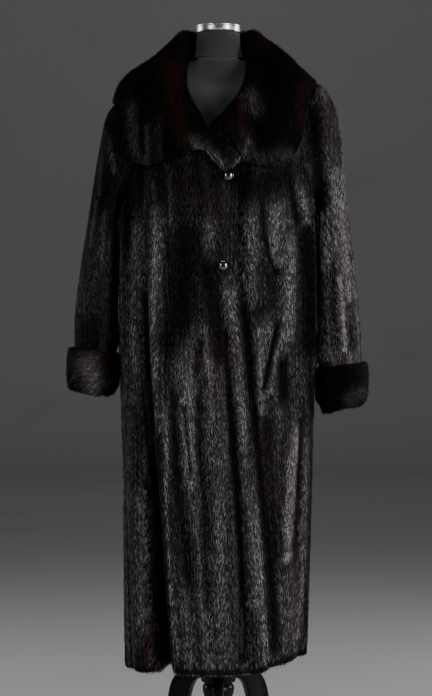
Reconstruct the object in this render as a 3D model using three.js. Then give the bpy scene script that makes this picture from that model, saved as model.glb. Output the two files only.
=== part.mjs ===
import * as THREE from "three";

// A full-length fur coat with a cape collar and turned-back cuffs, buttoned on a limbless dress form.
// Millimetres, +Z up, the front toward -Y. The stand's feet rest on z = 0, and its pole is on the
// axis while the pieces are made.
// A turn is an angle round the body: 0 at the centre front, 90 at +X, 180 at the centre back.
// The wearer's right is at -X.

// Cloth thicknesses: skin, fur and lining together
const wall = 8;
const standWall = 9;
const fallWall = 16;
const cuffWall = 14;
const seam = 0.3;

// Heights of the coat
const hem = 241;
const armpit = 1190;
const shoulderTip = 1440;
const neckline = 1496;

// The armhole is an oval on the side of the body
const armholeMiddle = (armpit + shoulderTip) / 2;
const armholeHalf = (shoulderTip - armpit) / 2;
const armholeReach = 33; // turn from the side line to its front and back
const seamTurn = 0.07; // half of a seam's gap, as a turn

// The skirt hangs a little turned on the form
const twistTop = 1030;
const hemTwist = 17;
const twistEase = 1.1;

// Grid of the body's panels
const skirtRows = 11;
const armholeRows = 9;
const shoulderRows = 4;
const frontColumns = 24;
const backColumns = 28;
const foldReach = 1.6; // columns crowd together this many fold widths to each side
const foldCrowding = 0.22;
const shareSamples = 400;

// Underlap of the left front
const underDepth = 15.5; // how far it lies under the right front's outside
const underStart = 9; // turn past the right front's edge where it begins to dip
const underFull = 1.5;
const lapelReach = 7; // turn from the right front's edge to its rolled lapel
const lapelReachFrom = 1236;
const lapelReachTo = 1275;
const underColumns = 7;
const dipColumns = 3;
const shoulderShares = [0.24, 0.34]; // where those columns end once the lapel is past
const lapelFrom = 1262;
const lapelTo = 1349;

// Outside of the coat. Each ring has the height of its sides, front and back, and its half sizes.
const coatRings = [
  { side: 241, front: 241, back: 241, half: 190, fore: 150, aft: 146 },
  { side: 400, front: 400, back: 400, half: 192, fore: 147, aft: 140 },
  { side: 600, front: 600, back: 600, half: 196, fore: 143, aft: 134 },
  { side: 800, front: 800, back: 800, half: 199, fore: 139, aft: 127 },
  { side: 1000, front: 1000, back: 1000, half: 206, fore: 137, aft: 120 },
  { side: 1190, front: 1190, back: 1190, half: 205, fore: 142, aft: 118 },
  { side: 1260, front: 1260, back: 1260, half: 202, fore: 146, aft: 121 },
  { side: 1330, front: 1328, back: 1332, half: 199, fore: 142, aft: 122 },
  { side: 1390, front: 1378, back: 1392, half: 196, fore: 130, aft: 118 },
  { side: 1420, front: 1402, back: 1424, half: 192, fore: 118, aft: 111 },
  { side: 1440, front: 1416, back: 1444, half: 185, fore: 110, aft: 105 },
  { side: 1462, front: 1430, back: 1464, half: 158, fore: 98, aft: 95 },
  { side: 1480, front: 1442, back: 1480, half: 122, fore: 86, aft: 85 },
  { side: 1496, front: 1455, back: 1496, half: 82, fore: 72, aft: 74 },
];

// Free edge of each front, from the hem to the neckline
const rightEdge = [
  { height: 241, turn: 18.5 },
  { height: 388, turn: 18.8 },
  { height: 470, turn: 18.2 },
  { height: 640, turn: 16.1 },
  { height: 790, turn: 14 },
  { height: 900, turn: 13.2 },
  { height: 990, turn: 12.3 },
  { height: 1068, turn: 7.8 },
  { height: 1170, turn: 9.5 },
  { height: 1232, turn: 10 },
  { height: 1262, turn: 8.3 },
  { height: 1291, turn: 0.5 },
  { height: 1319, turn: -8 },
  { height: 1349, turn: -16.5 },
  { height: 1390, turn: -23.5 },
  { height: 1410, turn: -26 },
  { height: 1440, turn: -30 },
  { height: 1462, turn: -35 },
  { height: 1480, turn: -43 },
  { height: 1496, turn: -58 },
];
const leftEdge = [
  { height: 241, turn: -4.5 },
  { height: 400, turn: -4.5 },
  { height: 600, turn: -6.5 },
  { height: 800, turn: -9 },
  { height: 1000, turn: -12 },
  { height: 1190, turn: -13.5 },
  { height: 1262, turn: -13 },
  { height: 1291, turn: -8 },
  { height: 1319, turn: 2.5 },
  { height: 1349, turn: 8 },
  { height: 1365, turn: 11 },
  { height: 1390, turn: 16.5 },
  { height: 1410, turn: 19.8 },
  { height: 1440, turn: 24.5 },
  { height: 1462, turn: 31 },
  { height: 1480, turn: 41 },
  { height: 1496, turn: 57 },
];

// How far the hem rises above its level round the body
const hemRises = [
  { turn: -180, rise: 4 },
  { turn: -90, rise: 0 },
  { turn: -55, rise: 0 },
  { turn: -47.5, rise: 12 },
  { turn: -40, rise: 0 },
  { turn: 10, rise: -2 },
  { turn: 25, rise: 4 },
  { turn: 40, rise: 13 },
  { turn: 60, rise: 21 },
  { turn: 90, rise: 23 },
  { turn: 130, rise: 12 },
  { turn: 180, rise: 4 },
];
const hemRiseReach = 260;

// Folds. A positive depth is a ridge. Each has its turn at the hem, its lean in turn per metre up,
// its width in turn, and the heights where it fades out. One that grows does so from its top down.
// A sharp fold is narrower on its left side, toward +X, by that share.
const folds = [
  { turn: -48.5, lean: 0, depth: -50, width: 7, top: 900, foot: 0, fade: 560, sharp: 0.5 },
  { turn: -66, lean: 0, depth: 11, width: 11, top: 860, foot: 0, fade: 500 },
  { turn: -41, lean: 2, depth: 9, width: 3.6, top: 1230, foot: 0, fade: 200 },
  { turn: -30, lean: 0, depth: -8, width: 6, top: 1120, foot: 800, fade: 120 },
  { turn: -24, lean: 0, depth: 7, width: 4.5, top: 960, foot: 420, fade: 160 },
  { turn: -16.5, lean: 1, depth: -7, width: 3.4, top: 1000, foot: 330, fade: 160 },
  { turn: -8, lean: 0, depth: 6, width: 5, top: 1000, foot: 0, fade: 260 },
  { turn: -2, lean: 2, depth: -6, width: 3.6, top: 1050, foot: 850, fade: 70 },
  { turn: 3, lean: 0.5, depth: -12, width: 3.6, top: 1000, foot: 0, fade: 320 },
  { turn: 12, lean: -5, depth: 8, width: 5, top: 1040, foot: 0, fade: 240 },
  { turn: 19.5, lean: 0, depth: 8, width: 5, top: 1250, foot: 1030, fade: 60 },
  { turn: 30, lean: 0, depth: -8, width: 4, top: 1240, foot: 1060, fade: 60 },
  { turn: 41, lean: 1, depth: 9, width: 6.5, top: 1250, foot: 860, fade: 120 },
  { turn: -28, lean: 90, depth: -8, width: 3.2, top: 960, foot: 820, fade: 40 },
  { turn: 39, lean: 0, depth: -8, width: 4, top: 900, foot: 770, fade: 60 },
  { turn: 27, lean: -2, depth: -12, width: 5, top: 840, foot: 0, fade: 260 },
  { turn: 26, lean: 48, depth: 11, width: 3.6, top: 800, foot: 400, fade: 110 },
  { turn: 51, lean: -2, depth: -9, width: 4.5, top: 780, foot: 0, fade: 240 },
  { turn: 56, lean: 8, depth: 9, width: 4.5, top: 860, foot: 0, fade: 260 },
  { turn: 72, lean: 0, depth: -9, width: 5, top: 820, foot: 0, fade: 380 },
  { turn: 86, lean: 0, depth: -2, width: 6, top: 1250, foot: 820, fade: 160 },
  { turn: 104, lean: 0, depth: 10, width: 8, top: 900, foot: 0, fade: 500 },
  { turn: 122, lean: 0, depth: -17, width: 6, top: 950, foot: 0, fade: 560 },
  { turn: 139, lean: 0, depth: 9, width: 7, top: 1050, foot: 0, fade: 560 },
  { turn: 157, lean: 1, depth: -15, width: 6, top: 1080, foot: 0, fade: 640 },
  { turn: 174, lean: 0, depth: 10, width: 8, top: 1150, foot: 0, fade: 640 },
  { turn: 194, lean: -1, depth: -14, width: 6, top: 1060, foot: 0, fade: 620 },
  { turn: 212, lean: 0, depth: 9, width: 7, top: 1020, foot: 0, fade: 560 },
  { turn: 230, lean: 0, depth: -18, width: 6.5, top: 980, foot: 0, fade: 560 },
  { turn: 251, lean: 0, depth: 10, width: 8, top: 900, foot: 0, fade: 500 },
  { turn: 273, lean: 0, depth: -8, width: 6, top: 820, foot: 0, fade: 420 },
];

// Sleeves. Each ring's inner and outer ends seen from the front, its half depth and its middle's y.
const sleeveRight = [
  { innerX: 207, innerZ: 1186, outerX: 204, outerZ: 1410, deep: 75, y: -3 },
  { innerX: 208, innerZ: 1178, outerX: 217, outerZ: 1386, deep: 74, y: -1 },
  { innerX: 209, innerZ: 1166, outerX: 232, outerZ: 1350, deep: 73, y: 1 },
  { innerX: 209, innerZ: 1152, outerX: 245, outerZ: 1310, deep: 72, y: 2 },
  { innerX: 209, innerZ: 1134, outerX: 253, outerZ: 1262, deep: 70, y: 3 },
  { innerX: 209, innerZ: 1108, outerX: 262, outerZ: 1206, deep: 68, y: 4 },
  { innerX: 208, innerZ: 1070, outerX: 273, outerZ: 1145, deep: 66, y: 5 },
  { innerX: 208, innerZ: 1020, outerX: 283, outerZ: 1080, deep: 64, y: 6 },
  { innerX: 208, innerZ: 965, outerX: 292, outerZ: 1010, deep: 61, y: 6 },
  { innerX: 208, innerZ: 930, outerX: 298, outerZ: 954, deep: 58, y: 6 },
  { innerX: 212, innerZ: 905, outerX: 298, outerZ: 920, deep: 55, y: 6 },
  { innerX: 219, innerZ: 886, outerX: 298, outerZ: 895, deep: 51, y: 6 },
  { innerX: 223, innerZ: 794, outerX: 301, outerZ: 812, deep: 50, y: 6 },
];
const sleeveLeft = [
  { innerX: 207, innerZ: 1186, outerX: 216, outerZ: 1440, deep: 75, y: -3 },
  { innerX: 208, innerZ: 1178, outerX: 238, outerZ: 1408, deep: 74, y: -1 },
  { innerX: 209, innerZ: 1166, outerX: 250, outerZ: 1362, deep: 73, y: 1 },
  { innerX: 209, innerZ: 1152, outerX: 255, outerZ: 1318, deep: 72, y: 2 },
  { innerX: 209, innerZ: 1134, outerX: 259, outerZ: 1268, deep: 70, y: 3 },
  { innerX: 209, innerZ: 1108, outerX: 265, outerZ: 1210, deep: 68, y: 4 },
  { innerX: 208, innerZ: 1070, outerX: 273, outerZ: 1145, deep: 66, y: 5 },
  { innerX: 208, innerZ: 1020, outerX: 281, outerZ: 1075, deep: 64, y: 6 },
  { innerX: 208, innerZ: 955, outerX: 290, outerZ: 1000, deep: 61, y: 6 },
  { innerX: 208, innerZ: 903, outerX: 297, outerZ: 926, deep: 58, y: 6 },
  { innerX: 211, innerZ: 876, outerX: 297, outerZ: 892, deep: 55, y: 6 },
  { innerX: 217, innerZ: 856, outerX: 296, outerZ: 866, deep: 51, y: 6 },
  { innerX: 218, innerZ: 760, outerX: 297, outerZ: 794, deep: 50, y: 6 },
];
const sleeveLip = 0.8; // how far the sleeve's first ring lies inside the armhole
const sleeveTurnIn = 0.45;
const underarmLift = 3;

// A cuff's section: its way along the sleeve's last stretch, and its height above the sleeve
const cuffSection = [
  { along: 0.02, out: 0 },
  { along: -0.03, out: 0.35 },
  { along: 0.02, out: 0.8 },
  { along: 0.16, out: 1 },
  { along: 0.55, out: 1.1 },
  { along: 0.88, out: 1 },
  { along: 1.04, out: 0.75 },
  { along: 1.08, out: 0.35 },
  { along: 1.02, out: 0 },
];
const cuffGap = 0.5;

// Collar. Each station starts at a free edge of the body: a height on a lapel, or a turn round the
// neckline. It has the length of its stand, and the place of its outer edge.
const collarStations = [
  { lapel: "right", height: 1258, stand: 9, x: 14, y: -150, z: 1251 },
  { lapel: "right", height: 1276, stand: 11, x: -3, y: -150, z: 1266 },
  { lapel: "right", height: 1297, stand: 12, x: -14, y: -149, z: 1284 },
  { lapel: "right", height: 1322, stand: 12, x: -28, y: -147, z: 1296 },
  { lapel: "right", height: 1349, stand: 13, x: -60, y: -139, z: 1291 },
  { lapel: "right", height: 1370, stand: 13, x: -101, y: -125, z: 1269 },
  { lapel: "right", height: 1390, stand: 13, x: -142, y: -104, z: 1264 },
  { lapel: "right", height: 1412, stand: 13, x: -168, y: -96, z: 1273 },
  { lapel: "right", height: 1440, stand: 13, x: -186, y: -92, z: 1299 },
  { lapel: "right", height: 1462, stand: 13, x: -195, y: -90, z: 1336 },
  { lapel: "right", height: 1482, stand: 14, x: -199, y: -80, z: 1372 },
  { lapel: "right", height: 1496, stand: 18, x: -202, y: -68, z: 1376 },
  { turn: -64, stand: 25, x: -206, y: -48, z: 1384 },
  { turn: -74, stand: 34, x: -209, y: -24, z: 1390 },
  { turn: -86, stand: 44, x: -209, y: 12, z: 1391 },
  { turn: -97, stand: 50, x: -201, y: 50, z: 1384 },
  { turn: -114, stand: 50, x: -182, y: 88, z: 1352 },
  { turn: -134, stand: 52, x: -142, y: 115, z: 1330 },
  { turn: -157, stand: 52, x: -76, y: 129, z: 1295 },
  { turn: -180, stand: 52, x: 0, y: 133, z: 1283 },
  { turn: -203, stand: 52, x: 76, y: 129, z: 1295 },
  { turn: -226, stand: 52, x: 140, y: 115, z: 1334 },
  { turn: -246, stand: 50, x: 174, y: 88, z: 1388 },
  { turn: -263, stand: 50, x: 184, y: 50, z: 1430 },
  { turn: -274, stand: 44, x: 186, y: 12, z: 1446 },
  { turn: -286, stand: 34, x: 184, y: -24, z: 1440 },
  { turn: -296, stand: 25, x: 182, y: -48, z: 1426 },
  { lapel: "left", height: 1496, stand: 18, x: 178, y: -68, z: 1408 },
  { lapel: "left", height: 1482, stand: 14, x: 175, y: -80, z: 1388 },
  { lapel: "left", height: 1462, stand: 13, x: 171, y: -92, z: 1348 },
  { lapel: "left", height: 1440, stand: 13, x: 166, y: -96, z: 1316 },
  { lapel: "left", height: 1414, stand: 13, x: 153, y: -103, z: 1290 },
  { lapel: "left", height: 1389, stand: 13, x: 130, y: -113, z: 1273 },
  { lapel: "left", height: 1366, stand: 13, x: 102, y: -125, z: 1266 },
  { lapel: "left", height: 1347, stand: 12, x: 74, y: -134, z: 1265 },
  { lapel: "left", height: 1332, stand: 11, x: 50, y: -136, z: 1267 },
];
const rollRadius = 8.5;
const fallSteps = 7;
const fallBulge = 11; // at the shoulders
const lapelBulge = 2;
const lapelGap = 4.4;
const shoulderGap = 8.2;
const collarCentre = new THREE.Vector3(0, -4, 1290);
const sideLean = 0.3; // the stand leans in toward the neck, most at the sides
const backLean = 0.12;
const standRise = { from: 1440, to: 1500 }; // a lapel's stand turns upright between these heights
const lapelAim = { y: -20, above: 60, neck: 1560 }; // where the stand leans to
const edgeThin = 0.6; // the fall's edge, as a share of its thickness
const steepest = 0.55;
const rollAngles = [45, 90, 135];

// Buttons: domed, sewn to the right front
const buttonRadius = 11;
const buttonDome = 7;
const buttonRim = 2.5;
const buttonBack = 0.7; // its flat back, as a share of its radius
const buttonBevel = 1;
const buttonSegments = 18;
const buttonProbes = 16;
const probeReach = 60;
const buttons = [
  { name: "button_top", turn: 5.6, height: 1240 },
  { name: "button_bottom", turn: 2.6, height: 1060 },
];

// Dress form, in rings like the coat's up to the shoulders
const formRings = [
  { side: 840, front: 840, back: 840, half: 146, fore: 88, aft: 86 },
  { side: 848, front: 848, back: 848, half: 157, fore: 98, aft: 95 },
  { side: 900, front: 900, back: 900, half: 164, fore: 102, aft: 98 },
  { side: 980, front: 980, back: 980, half: 158, fore: 100, aft: 95 },
  { side: 1075, front: 1075, back: 1075, half: 128, fore: 92, aft: 84 },
  { side: 1150, front: 1150, back: 1150, half: 137, fore: 104, aft: 90 },
  { side: 1230, front: 1232, back: 1230, half: 154, fore: 117, aft: 97 },
  { side: 1290, front: 1290, back: 1290, half: 160, fore: 116, aft: 100 },
  { side: 1345, front: 1338, back: 1345, half: 165, fore: 108, aft: 98 },
  { side: 1395, front: 1376, back: 1395, half: 172, fore: 97, aft: 93 },
];
const formShoulderHeights = [1440, 1462, 1480, 1495];
const formTouch = 0.5; // clear of the coat on the shoulders
const formEase = 13; // and further at the front and back
const formColumns = 28;
const neckSeam = 1491.5;
const seamEase = 1.5;
const neckProfile = [
  { height: neckSeam + seam, radius: 55 },
  { height: 1497, radius: 52 },
  { height: 1505, radius: 49.5 },
  { height: 1520, radius: 46.5 },
  { height: 1546.7, radius: 45 },
];

// Neck cap, a ribbed metal band under a low domed top
const capFoot = 1547;
const capProfile = [
  { height: 0, radius: 45.5 },
  { height: 0.8, radius: 47.5 },
  { height: 3, radius: 47.8 },
  { height: 4, radius: 46.6 },
  { height: 12, radius: 46.6 },
  { height: 13, radius: 47.8 },
  { height: 15, radius: 47.4 },
  { height: 16.4, radius: 44 },
  { height: 17.4, radius: 30 },
];

// Stand: a turned hub with a ball under it, a pole, and three sawn legs
const poleRadius = 15;
const hubTop = 252;
const hubRadius = 36;
const hubProfile = [
  { height: 154, radius: 0 },
  { height: 157, radius: 14 },
  { height: 166, radius: 25 },
  { height: 178, radius: 31.5 },
  { height: 187, radius: 33 },
  { height: 194, radius: 32 },
  { height: 198, radius: 28 },
  { height: 202, radius: hubRadius },
  { height: 240, radius: hubRadius },
  { height: 247, radius: 30 },
  { height: hubTop, radius: 24 },
];
const legThickness = 22;
const poleBehind = 57; // the pole stands this far behind the middle of the whole part's box
const roundSegments = 24;
const capSegments = 30;

// A leg's outline: points out from the hub and up from the floor. A row of one is a straight line's
// end, and a row of more has a curve's control points before its end.
const legStart = { out: hubRadius + seam, height: 206 };
const legLine = [
  [60, 206, 69, 168],
  [82, 100, 130, 30, 214, 0],
  [268, 0],
  [272, 12, 254, 17],
  [180, 42, 132, 100, 118, 160],
  [108, 236, legStart.out, 236],
];
const legSegments = 7;

const up = new THREE.Vector3(0, 0, 1);
const rad = THREE.MathUtils.degToRad;
const { clamp, lerp, smoothstep } = THREE.MathUtils;

const furMaterial = () =>
  new THREE.MeshStandardMaterial({ color: 0x15100f, roughness: 0.55, metalness: 0 });
const jerseyMaterial = () =>
  new THREE.MeshStandardMaterial({ color: 0x1e1d20, roughness: 0.9, metalness: 0 });
const buttonMaterial = () =>
  new THREE.MeshStandardMaterial({ color: 0x08080a, roughness: 0.12, metalness: 0 });
const chromeMaterial = () =>
  new THREE.MeshStandardMaterial({ color: 0xd8d8d8, roughness: 0.12, metalness: 1 });
const paintMaterial = () =>
  new THREE.MeshStandardMaterial({ color: 0x0b0b0c, roughness: 0.3, metalness: 0 });

// The value in a table's column at a place between its rows, on a smooth curve through them
function read(rows, key, at, column) {
  const last = rows.length - 1;
  if (at <= rows[0][key]) return rows[0][column];
  if (at >= rows[last][key]) return rows[last][column];
  const i = rows.findIndex((row) => row[key] > at) - 1;
  const slope = (j) => {
    const before = rows[Math.max(j - 1, 0)];
    const after = rows[Math.min(j + 1, last)];
    return (after[column] - before[column]) / (after[key] - before[key]);
  };
  const from = rows[i];
  const to = rows[i + 1];
  const span = to[key] - from[key];
  const t = (at - from[key]) / span;
  const ease = t * t * (3 - 2 * t);
  const leave = t * (1 - t) * (1 - t) * span * slope(i);
  const arrive = t * t * (t - 1) * span * slope(i + 1);
  return lerp(from[column], to[column], ease) + leave + arrive;
}

// The shortest way between two turns
function between(turn, other) {
  return ((((turn - other + 180) % 360) + 360) % 360) - 180;
}

function foldDepth(turn, height) {
  let depth = 0;
  for (const fold of folds) {
    const middle = fold.turn + (fold.lean * (height - hem)) / 1000;
    const aside = between(turn, middle);
    const off = aside / (aside > 0 && fold.sharp ? fold.width * fold.sharp : fold.width);
    const below = 1 - smoothstep(height, fold.top - fold.fade, fold.top);
    const above = fold.foot > 0 ? smoothstep(height, fold.foot, fold.foot + fold.fade) : 1;
    depth += fold.depth * Math.exp(-off * off) * below * above;
  }
  return depth;
}

function ringPoint(rings, turn, height) {
  const across = Math.sin(rad(turn));
  const ahead = Math.cos(rad(turn));
  const half = read(rings, "side", height, "half");
  const deep = read(rings, "side", height, ahead > 0 ? "fore" : "aft");
  const middle = read(rings, "side", height, ahead > 0 ? "front" : "back");
  const place = new THREE.Vector3(half * across, -deep * ahead, lerp(height, middle, ahead * ahead));
  const way = new THREE.Vector3(across / half, -ahead / deep, 0).normalize();
  return { place, way };
}

// A point on the coat's outside
function coatOutside(turn, height) {
  const { place, way } = ringPoint(coatRings, turn, height);
  place.addScaledVector(way, foldDepth(turn, height));
  const rise = read(hemRises, "turn", between(turn, 0), "rise");
  place.z += rise * (1 - smoothstep(height, hem, hem + hemRiseReach));
  const twist = hemTwist * clamp((twistTop - height) / (twistTop - hem), 0, 1) ** twistEase;
  return place.applyAxisAngle(up, rad(twist));
}

// The direction straight out of the coat there
function coatOutward(turn, height) {
  const [aside, upward] = [0.4, 1.5];
  const round = coatOutside(turn + aside, height).sub(coatOutside(turn - aside, height));
  const above = Math.min(height + upward, neckline);
  const rise = coatOutside(turn, above).sub(coatOutside(turn, above - 2 * upward));
  return round.cross(rise).normalize();
}

// A point some way under the coat's outside
function coatUnder(turn, height, depth) {
  return coatOutside(turn, height).addScaledVector(coatOutward(turn, height), -depth);
}

// A geometry from faces of three or four corners, facing out
function solid(points, faces) {
  const corners = faces.flatMap(([a, b, c, d]) =>
    d === undefined ? [a, b, c] : [a, b, c, a, c, d],
  );
  let volume = 0;
  for (let i = 0; i < corners.length; i += 3) {
    const [a, b, c] = [points[corners[i]], points[corners[i + 1]], points[corners[i + 2]]];
    volume += a.dot(b.clone().cross(c));
  }
  const geometry = new THREE.BufferGeometry().setFromPoints(points);
  geometry.setIndex(volume > 0 ? corners : corners.reverse());
  geometry.computeVertexNormals();
  return geometry;
}

// A closed wall between two grids of points. A round wall joins its last column to its first.
function wallBetween(outer, inner, round = false) {
  const rows = outer.length;
  const columns = outer[0].length;
  const points = [...outer.flat(), ...inner.flat()];
  const out = (i, j) => i * columns + (j % columns);
  const into = (i, j) => rows * columns + out(i, j);
  const faces = [];
  const steps = round ? columns : columns - 1;
  for (let j = 0; j < steps; j++) {
    for (let i = 0; i < rows - 1; i++) {
      faces.push([out(i, j), out(i, j + 1), out(i + 1, j + 1), out(i + 1, j)]);
      faces.push([into(i, j), into(i + 1, j), into(i + 1, j + 1), into(i, j + 1)]);
    }
    faces.push([out(0, j), into(0, j), into(0, j + 1), out(0, j + 1)]);
    faces.push([out(rows - 1, j), out(rows - 1, j + 1), into(rows - 1, j + 1), into(rows - 1, j)]);
  }
  if (!round) {
    const end = columns - 1;
    for (let i = 0; i < rows - 1; i++) {
      faces.push([out(i, 0), out(i + 1, 0), into(i + 1, 0), into(i, 0)]);
      faces.push([out(i, end), into(i, end), into(i + 1, end), out(i + 1, end)]);
    }
  }
  return solid(points, faces);
}

// A closed ring swept by loops of points
function ringOf(loops) {
  const count = loops.length;
  const size = loops[0].length;
  const at = (i, j) => (i % count) * size + (j % size);
  const faces = [];
  for (let i = 0; i < count; i++) {
    for (let j = 0; j < size; j++) {
      faces.push([at(i, j), at(i, j + 1), at(i + 1, j + 1), at(i + 1, j)]);
    }
  }
  return solid(loops.flat(), faces);
}

// A solid through round rings, flat at both ends
function stackOf(rings) {
  const columns = rings[0].length;
  const points = rings.flat();
  const middle = (ring) =>
    ring.reduce((sum, p) => sum.add(p), new THREE.Vector3()).divideScalar(columns);
  const foot = points.push(middle(rings[0])) - 1;
  const head = points.push(middle(rings[rings.length - 1])) - 1;
  const at = (i, j) => i * columns + (j % columns);
  const faces = [];
  for (let j = 0; j < columns; j++) {
    for (let i = 0; i < rings.length - 1; i++) {
      faces.push([at(i, j), at(i, j + 1), at(i + 1, j + 1), at(i + 1, j)]);
    }
    faces.push([foot, at(0, j + 1), at(0, j)]);
    faces.push([head, at(rings.length - 1, j), at(rings.length - 1, j + 1)]);
  }
  return solid(points, faces);
}

// The grid's points moved along its own normals
function offsetGrid(grid, distance, round) {
  const rows = grid.length;
  const columns = grid[0].length;
  const column = (j) => (round ? (j + columns) % columns : clamp(j, 0, columns - 1));
  return grid.map((row, i) =>
    row.map((place, j) => {
      const across = row[column(j + 1)].clone().sub(row[column(j - 1)]);
      const along = grid[Math.min(i + 1, rows - 1)][j].clone().sub(grid[Math.max(i - 1, 0)][j]);
      const normal = across.cross(along).normalize();
      return place.clone().addScaledVector(normal, distance(i, j));
    }),
  );
}

// Row heights from the hem to the neckline, which follow the armhole's oval
const rowHeights = [];
for (let i = 0; i < skirtRows; i++) {
  rowHeights.push(lerp(hem, armpit, i / skirtRows));
}
for (let i = 0; i < armholeRows; i++) {
  rowHeights.push(armholeMiddle - armholeHalf * Math.cos((Math.PI * i) / armholeRows));
}
for (let i = 0; i <= shoulderRows; i++) {
  rowHeights.push(lerp(shoulderTip, neckline, i / shoulderRows));
}

// The turn between the side line and the panel at a height
function sideGap(height) {
  const level = clamp((height - armholeMiddle) / armholeHalf, -1, 1);
  return seamTurn + armholeReach * Math.sqrt(1 - level * level);
}

// Shares of a panel's width, closer together where its folds are sharp
function columnShares(count, from, to) {
  const sums = [0];
  for (let i = 0; i < shareSamples; i++) {
    const turn = lerp(from, to, (i + 0.5) / shareSamples);
    let weight = 1;
    for (const fold of folds) {
      const off = between(turn, fold.turn) / (foldReach * fold.width);
      const sharpness = Math.abs(fold.depth) / fold.width;
      if (fold.foot === 0) weight += foldCrowding * sharpness * Math.exp(-off * off);
    }
    sums.push(sums[i] + weight);
  }
  const shares = [];
  for (let j = 0; j <= count; j++) {
    const target = (sums[shareSamples] * j) / count;
    const i = Math.max(sums.findIndex((sum) => sum >= target), 1);
    shares.push((i - 1 + (target - sums[i - 1]) / (sums[i] - sums[i - 1])) / shareSamples);
  }
  return shares;
}

function frontRight() {
  const shares = columnShares(frontColumns, -90, rightEdge[0].turn);
  const turnAt = (height, share) =>
    lerp(-90 + sideGap(height), read(rightEdge, "height", height, "turn"), share);
  const grid = (depth) =>
    rowHeights.map((height) =>
      shares.map((share) => coatUnder(turnAt(height, share), height, depth)),
    );
  return wallBetween(grid(0), grid(wall));
}

// The turn that the right front reaches with its rolled lapel
function lapTurn(height) {
  return read(rightEdge, "height", height, "turn") + lapelReach * smoothstep(height, lapelReachFrom, lapelReachTo);
}

// How far the left front lies under the body's outside near the lap
function lapDepth(turn, height) {
  return underDepth * (1 - smoothstep(turn - lapTurn(height), underFull, underStart));
}

function frontLeft() {
  const rest = frontColumns - underColumns - dipColumns;
  const shares = columnShares(rest, rightEdge[0].turn + underStart, 90);
  const turnsAt = (height) => {
    const edge = read(leftEdge, "height", height, "turn");
    const lap = lapTurn(height);
    const side = 90 - sideGap(height);
    const lapel = smoothstep(height, lapelFrom, lapelTo);
    const first = lerp(lap + underFull, lerp(edge, side, shoulderShares[0]), lapel);
    const second = lerp(lap + underStart, lerp(edge, side, shoulderShares[1]), lapel);
    return [
      ...Array.from({ length: underColumns }, (_, j) => lerp(edge, first, j / underColumns)),
      ...Array.from({ length: dipColumns }, (_, j) => lerp(first, second, j / dipColumns)),
      ...shares.map((share) => lerp(second, side, share)),
    ];
  };
  const grid = (depth) =>
    rowHeights.map((height) =>
      turnsAt(height).map((turn) => coatUnder(turn, height, depth + lapDepth(turn, height))),
    );
  return wallBetween(grid(0), grid(wall));
}

function back() {
  const shares = columnShares(backColumns, 90, 270);
  const turnAt = (height, share) => lerp(90 + sideGap(height), 270 - sideGap(height), share);
  const grid = (depth) =>
    rowHeights.map((height) =>
      shares.map((share) => coatUnder(turnAt(height, share), height, depth)),
    );
  return wallBetween(grid(0), grid(wall));
}

// A point on a sleeve's ring, at an angle from its outer end round by the front
function sleevePoint(side, row, angle, grow = 0) {
  const inner = new THREE.Vector3(side * row.innerX, row.y, row.innerZ);
  const outer = new THREE.Vector3(side * row.outerX, row.y, row.outerZ);
  const half = outer.clone().sub(inner).multiplyScalar(0.5);
  const place = inner.add(outer).multiplyScalar(0.5);
  place.addScaledVector(half, Math.cos(angle) * (1 + grow / half.length()));
  place.y -= (row.deep + grow) * Math.sin(angle);
  return place;
}

const sleeveColumns = 2 * armholeRows;
const sleeveAngles = Array.from({ length: sleeveColumns }, (_, j) => (Math.PI * j) / armholeRows);

function sleeve(side, rows) {
  const armhole = (depth) =>
    sleeveAngles.map((angle) => {
      const height = armholeMiddle + (armholeHalf - sleeveLip) * Math.cos(angle);
      const aside = (armholeReach - sleeveLip / 3) * Math.sin(angle);
      return coatUnder(side * (90 - aside), height, depth);
    });
  const rings = rows.map((row) => sleeveAngles.map((angle) => sleevePoint(side, row, angle)));
  const first = armhole(0);
  const turnIn = first.map((place, j) => {
    const low = (1 - Math.cos(sleeveAngles[j])) / 2;
    const next = place.clone().lerp(rings[0][j], sleeveTurnIn);
    next.z += underarmLift * low ** 4;
    return next;
  });
  const outer = [first, turnIn, ...rings];
  const inner = offsetGrid(outer, () => -side * wall, true);
  inner[0] = armhole(wall);
  return wallBetween(outer, inner, true);
}

function cuff(side, rows) {
  const last = rows[rows.length - 1];
  const before = rows[rows.length - 2];
  const mix = (t) =>
    Object.fromEntries(Object.keys(last).map((key) => [key, lerp(before[key], last[key], t)]));
  const loops = sleeveAngles.map((angle) =>
    cuffSection.map((step) =>
      sleevePoint(side, mix(step.along), angle, cuffGap + step.out * cuffWall),
    ),
  );
  return ringOf(loops);
}

// A point of a front's free edge at mid thickness, on the straight line between two of its rows
function lapelPoint(edge, side, height) {
  const rim = (at) => {
    const turn = read(edge, "height", at, "turn");
    return coatUnder(turn, at, wall / 2 + (side === "left" ? lapDepth(turn, at) : 0));
  };
  const above = rowHeights.findIndex((row) => row > height);
  const [low, high] = above < 1 ? rowHeights.slice(-2) : rowHeights.slice(above - 1, above + 1);
  return rim(low).lerp(rim(high), (height - low) / (high - low));
}

// Where the collar's station leaves the body, and the way past the body's edge there
function collarRoot(station) {
  const edge = station.lapel === "left" ? leftEdge : rightEdge;
  const step = 4;
  const height = station.lapel ? station.height : neckline;
  const turn = station.lapel ? read(edge, "height", height, "turn") : station.turn;
  const near = (off) =>
    station.lapel
      ? lapelPoint(edge, station.lapel, Math.min(height + off, neckline))
      : coatUnder(turn + off, neckline, wall / 2);
  const place = near(0);
  const outward = coatOutward(turn, height);
  const past = near(step).sub(near(-step)).cross(outward).normalize();
  const aimHeight = station.lapel ? height + lapelAim.above : lapelAim.neck;
  const inside = new THREE.Vector3(0, lapelAim.y, aimHeight).sub(place);
  if (past.dot(inside) < 0) past.negate();
  return { place, outward, past };
}

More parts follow.
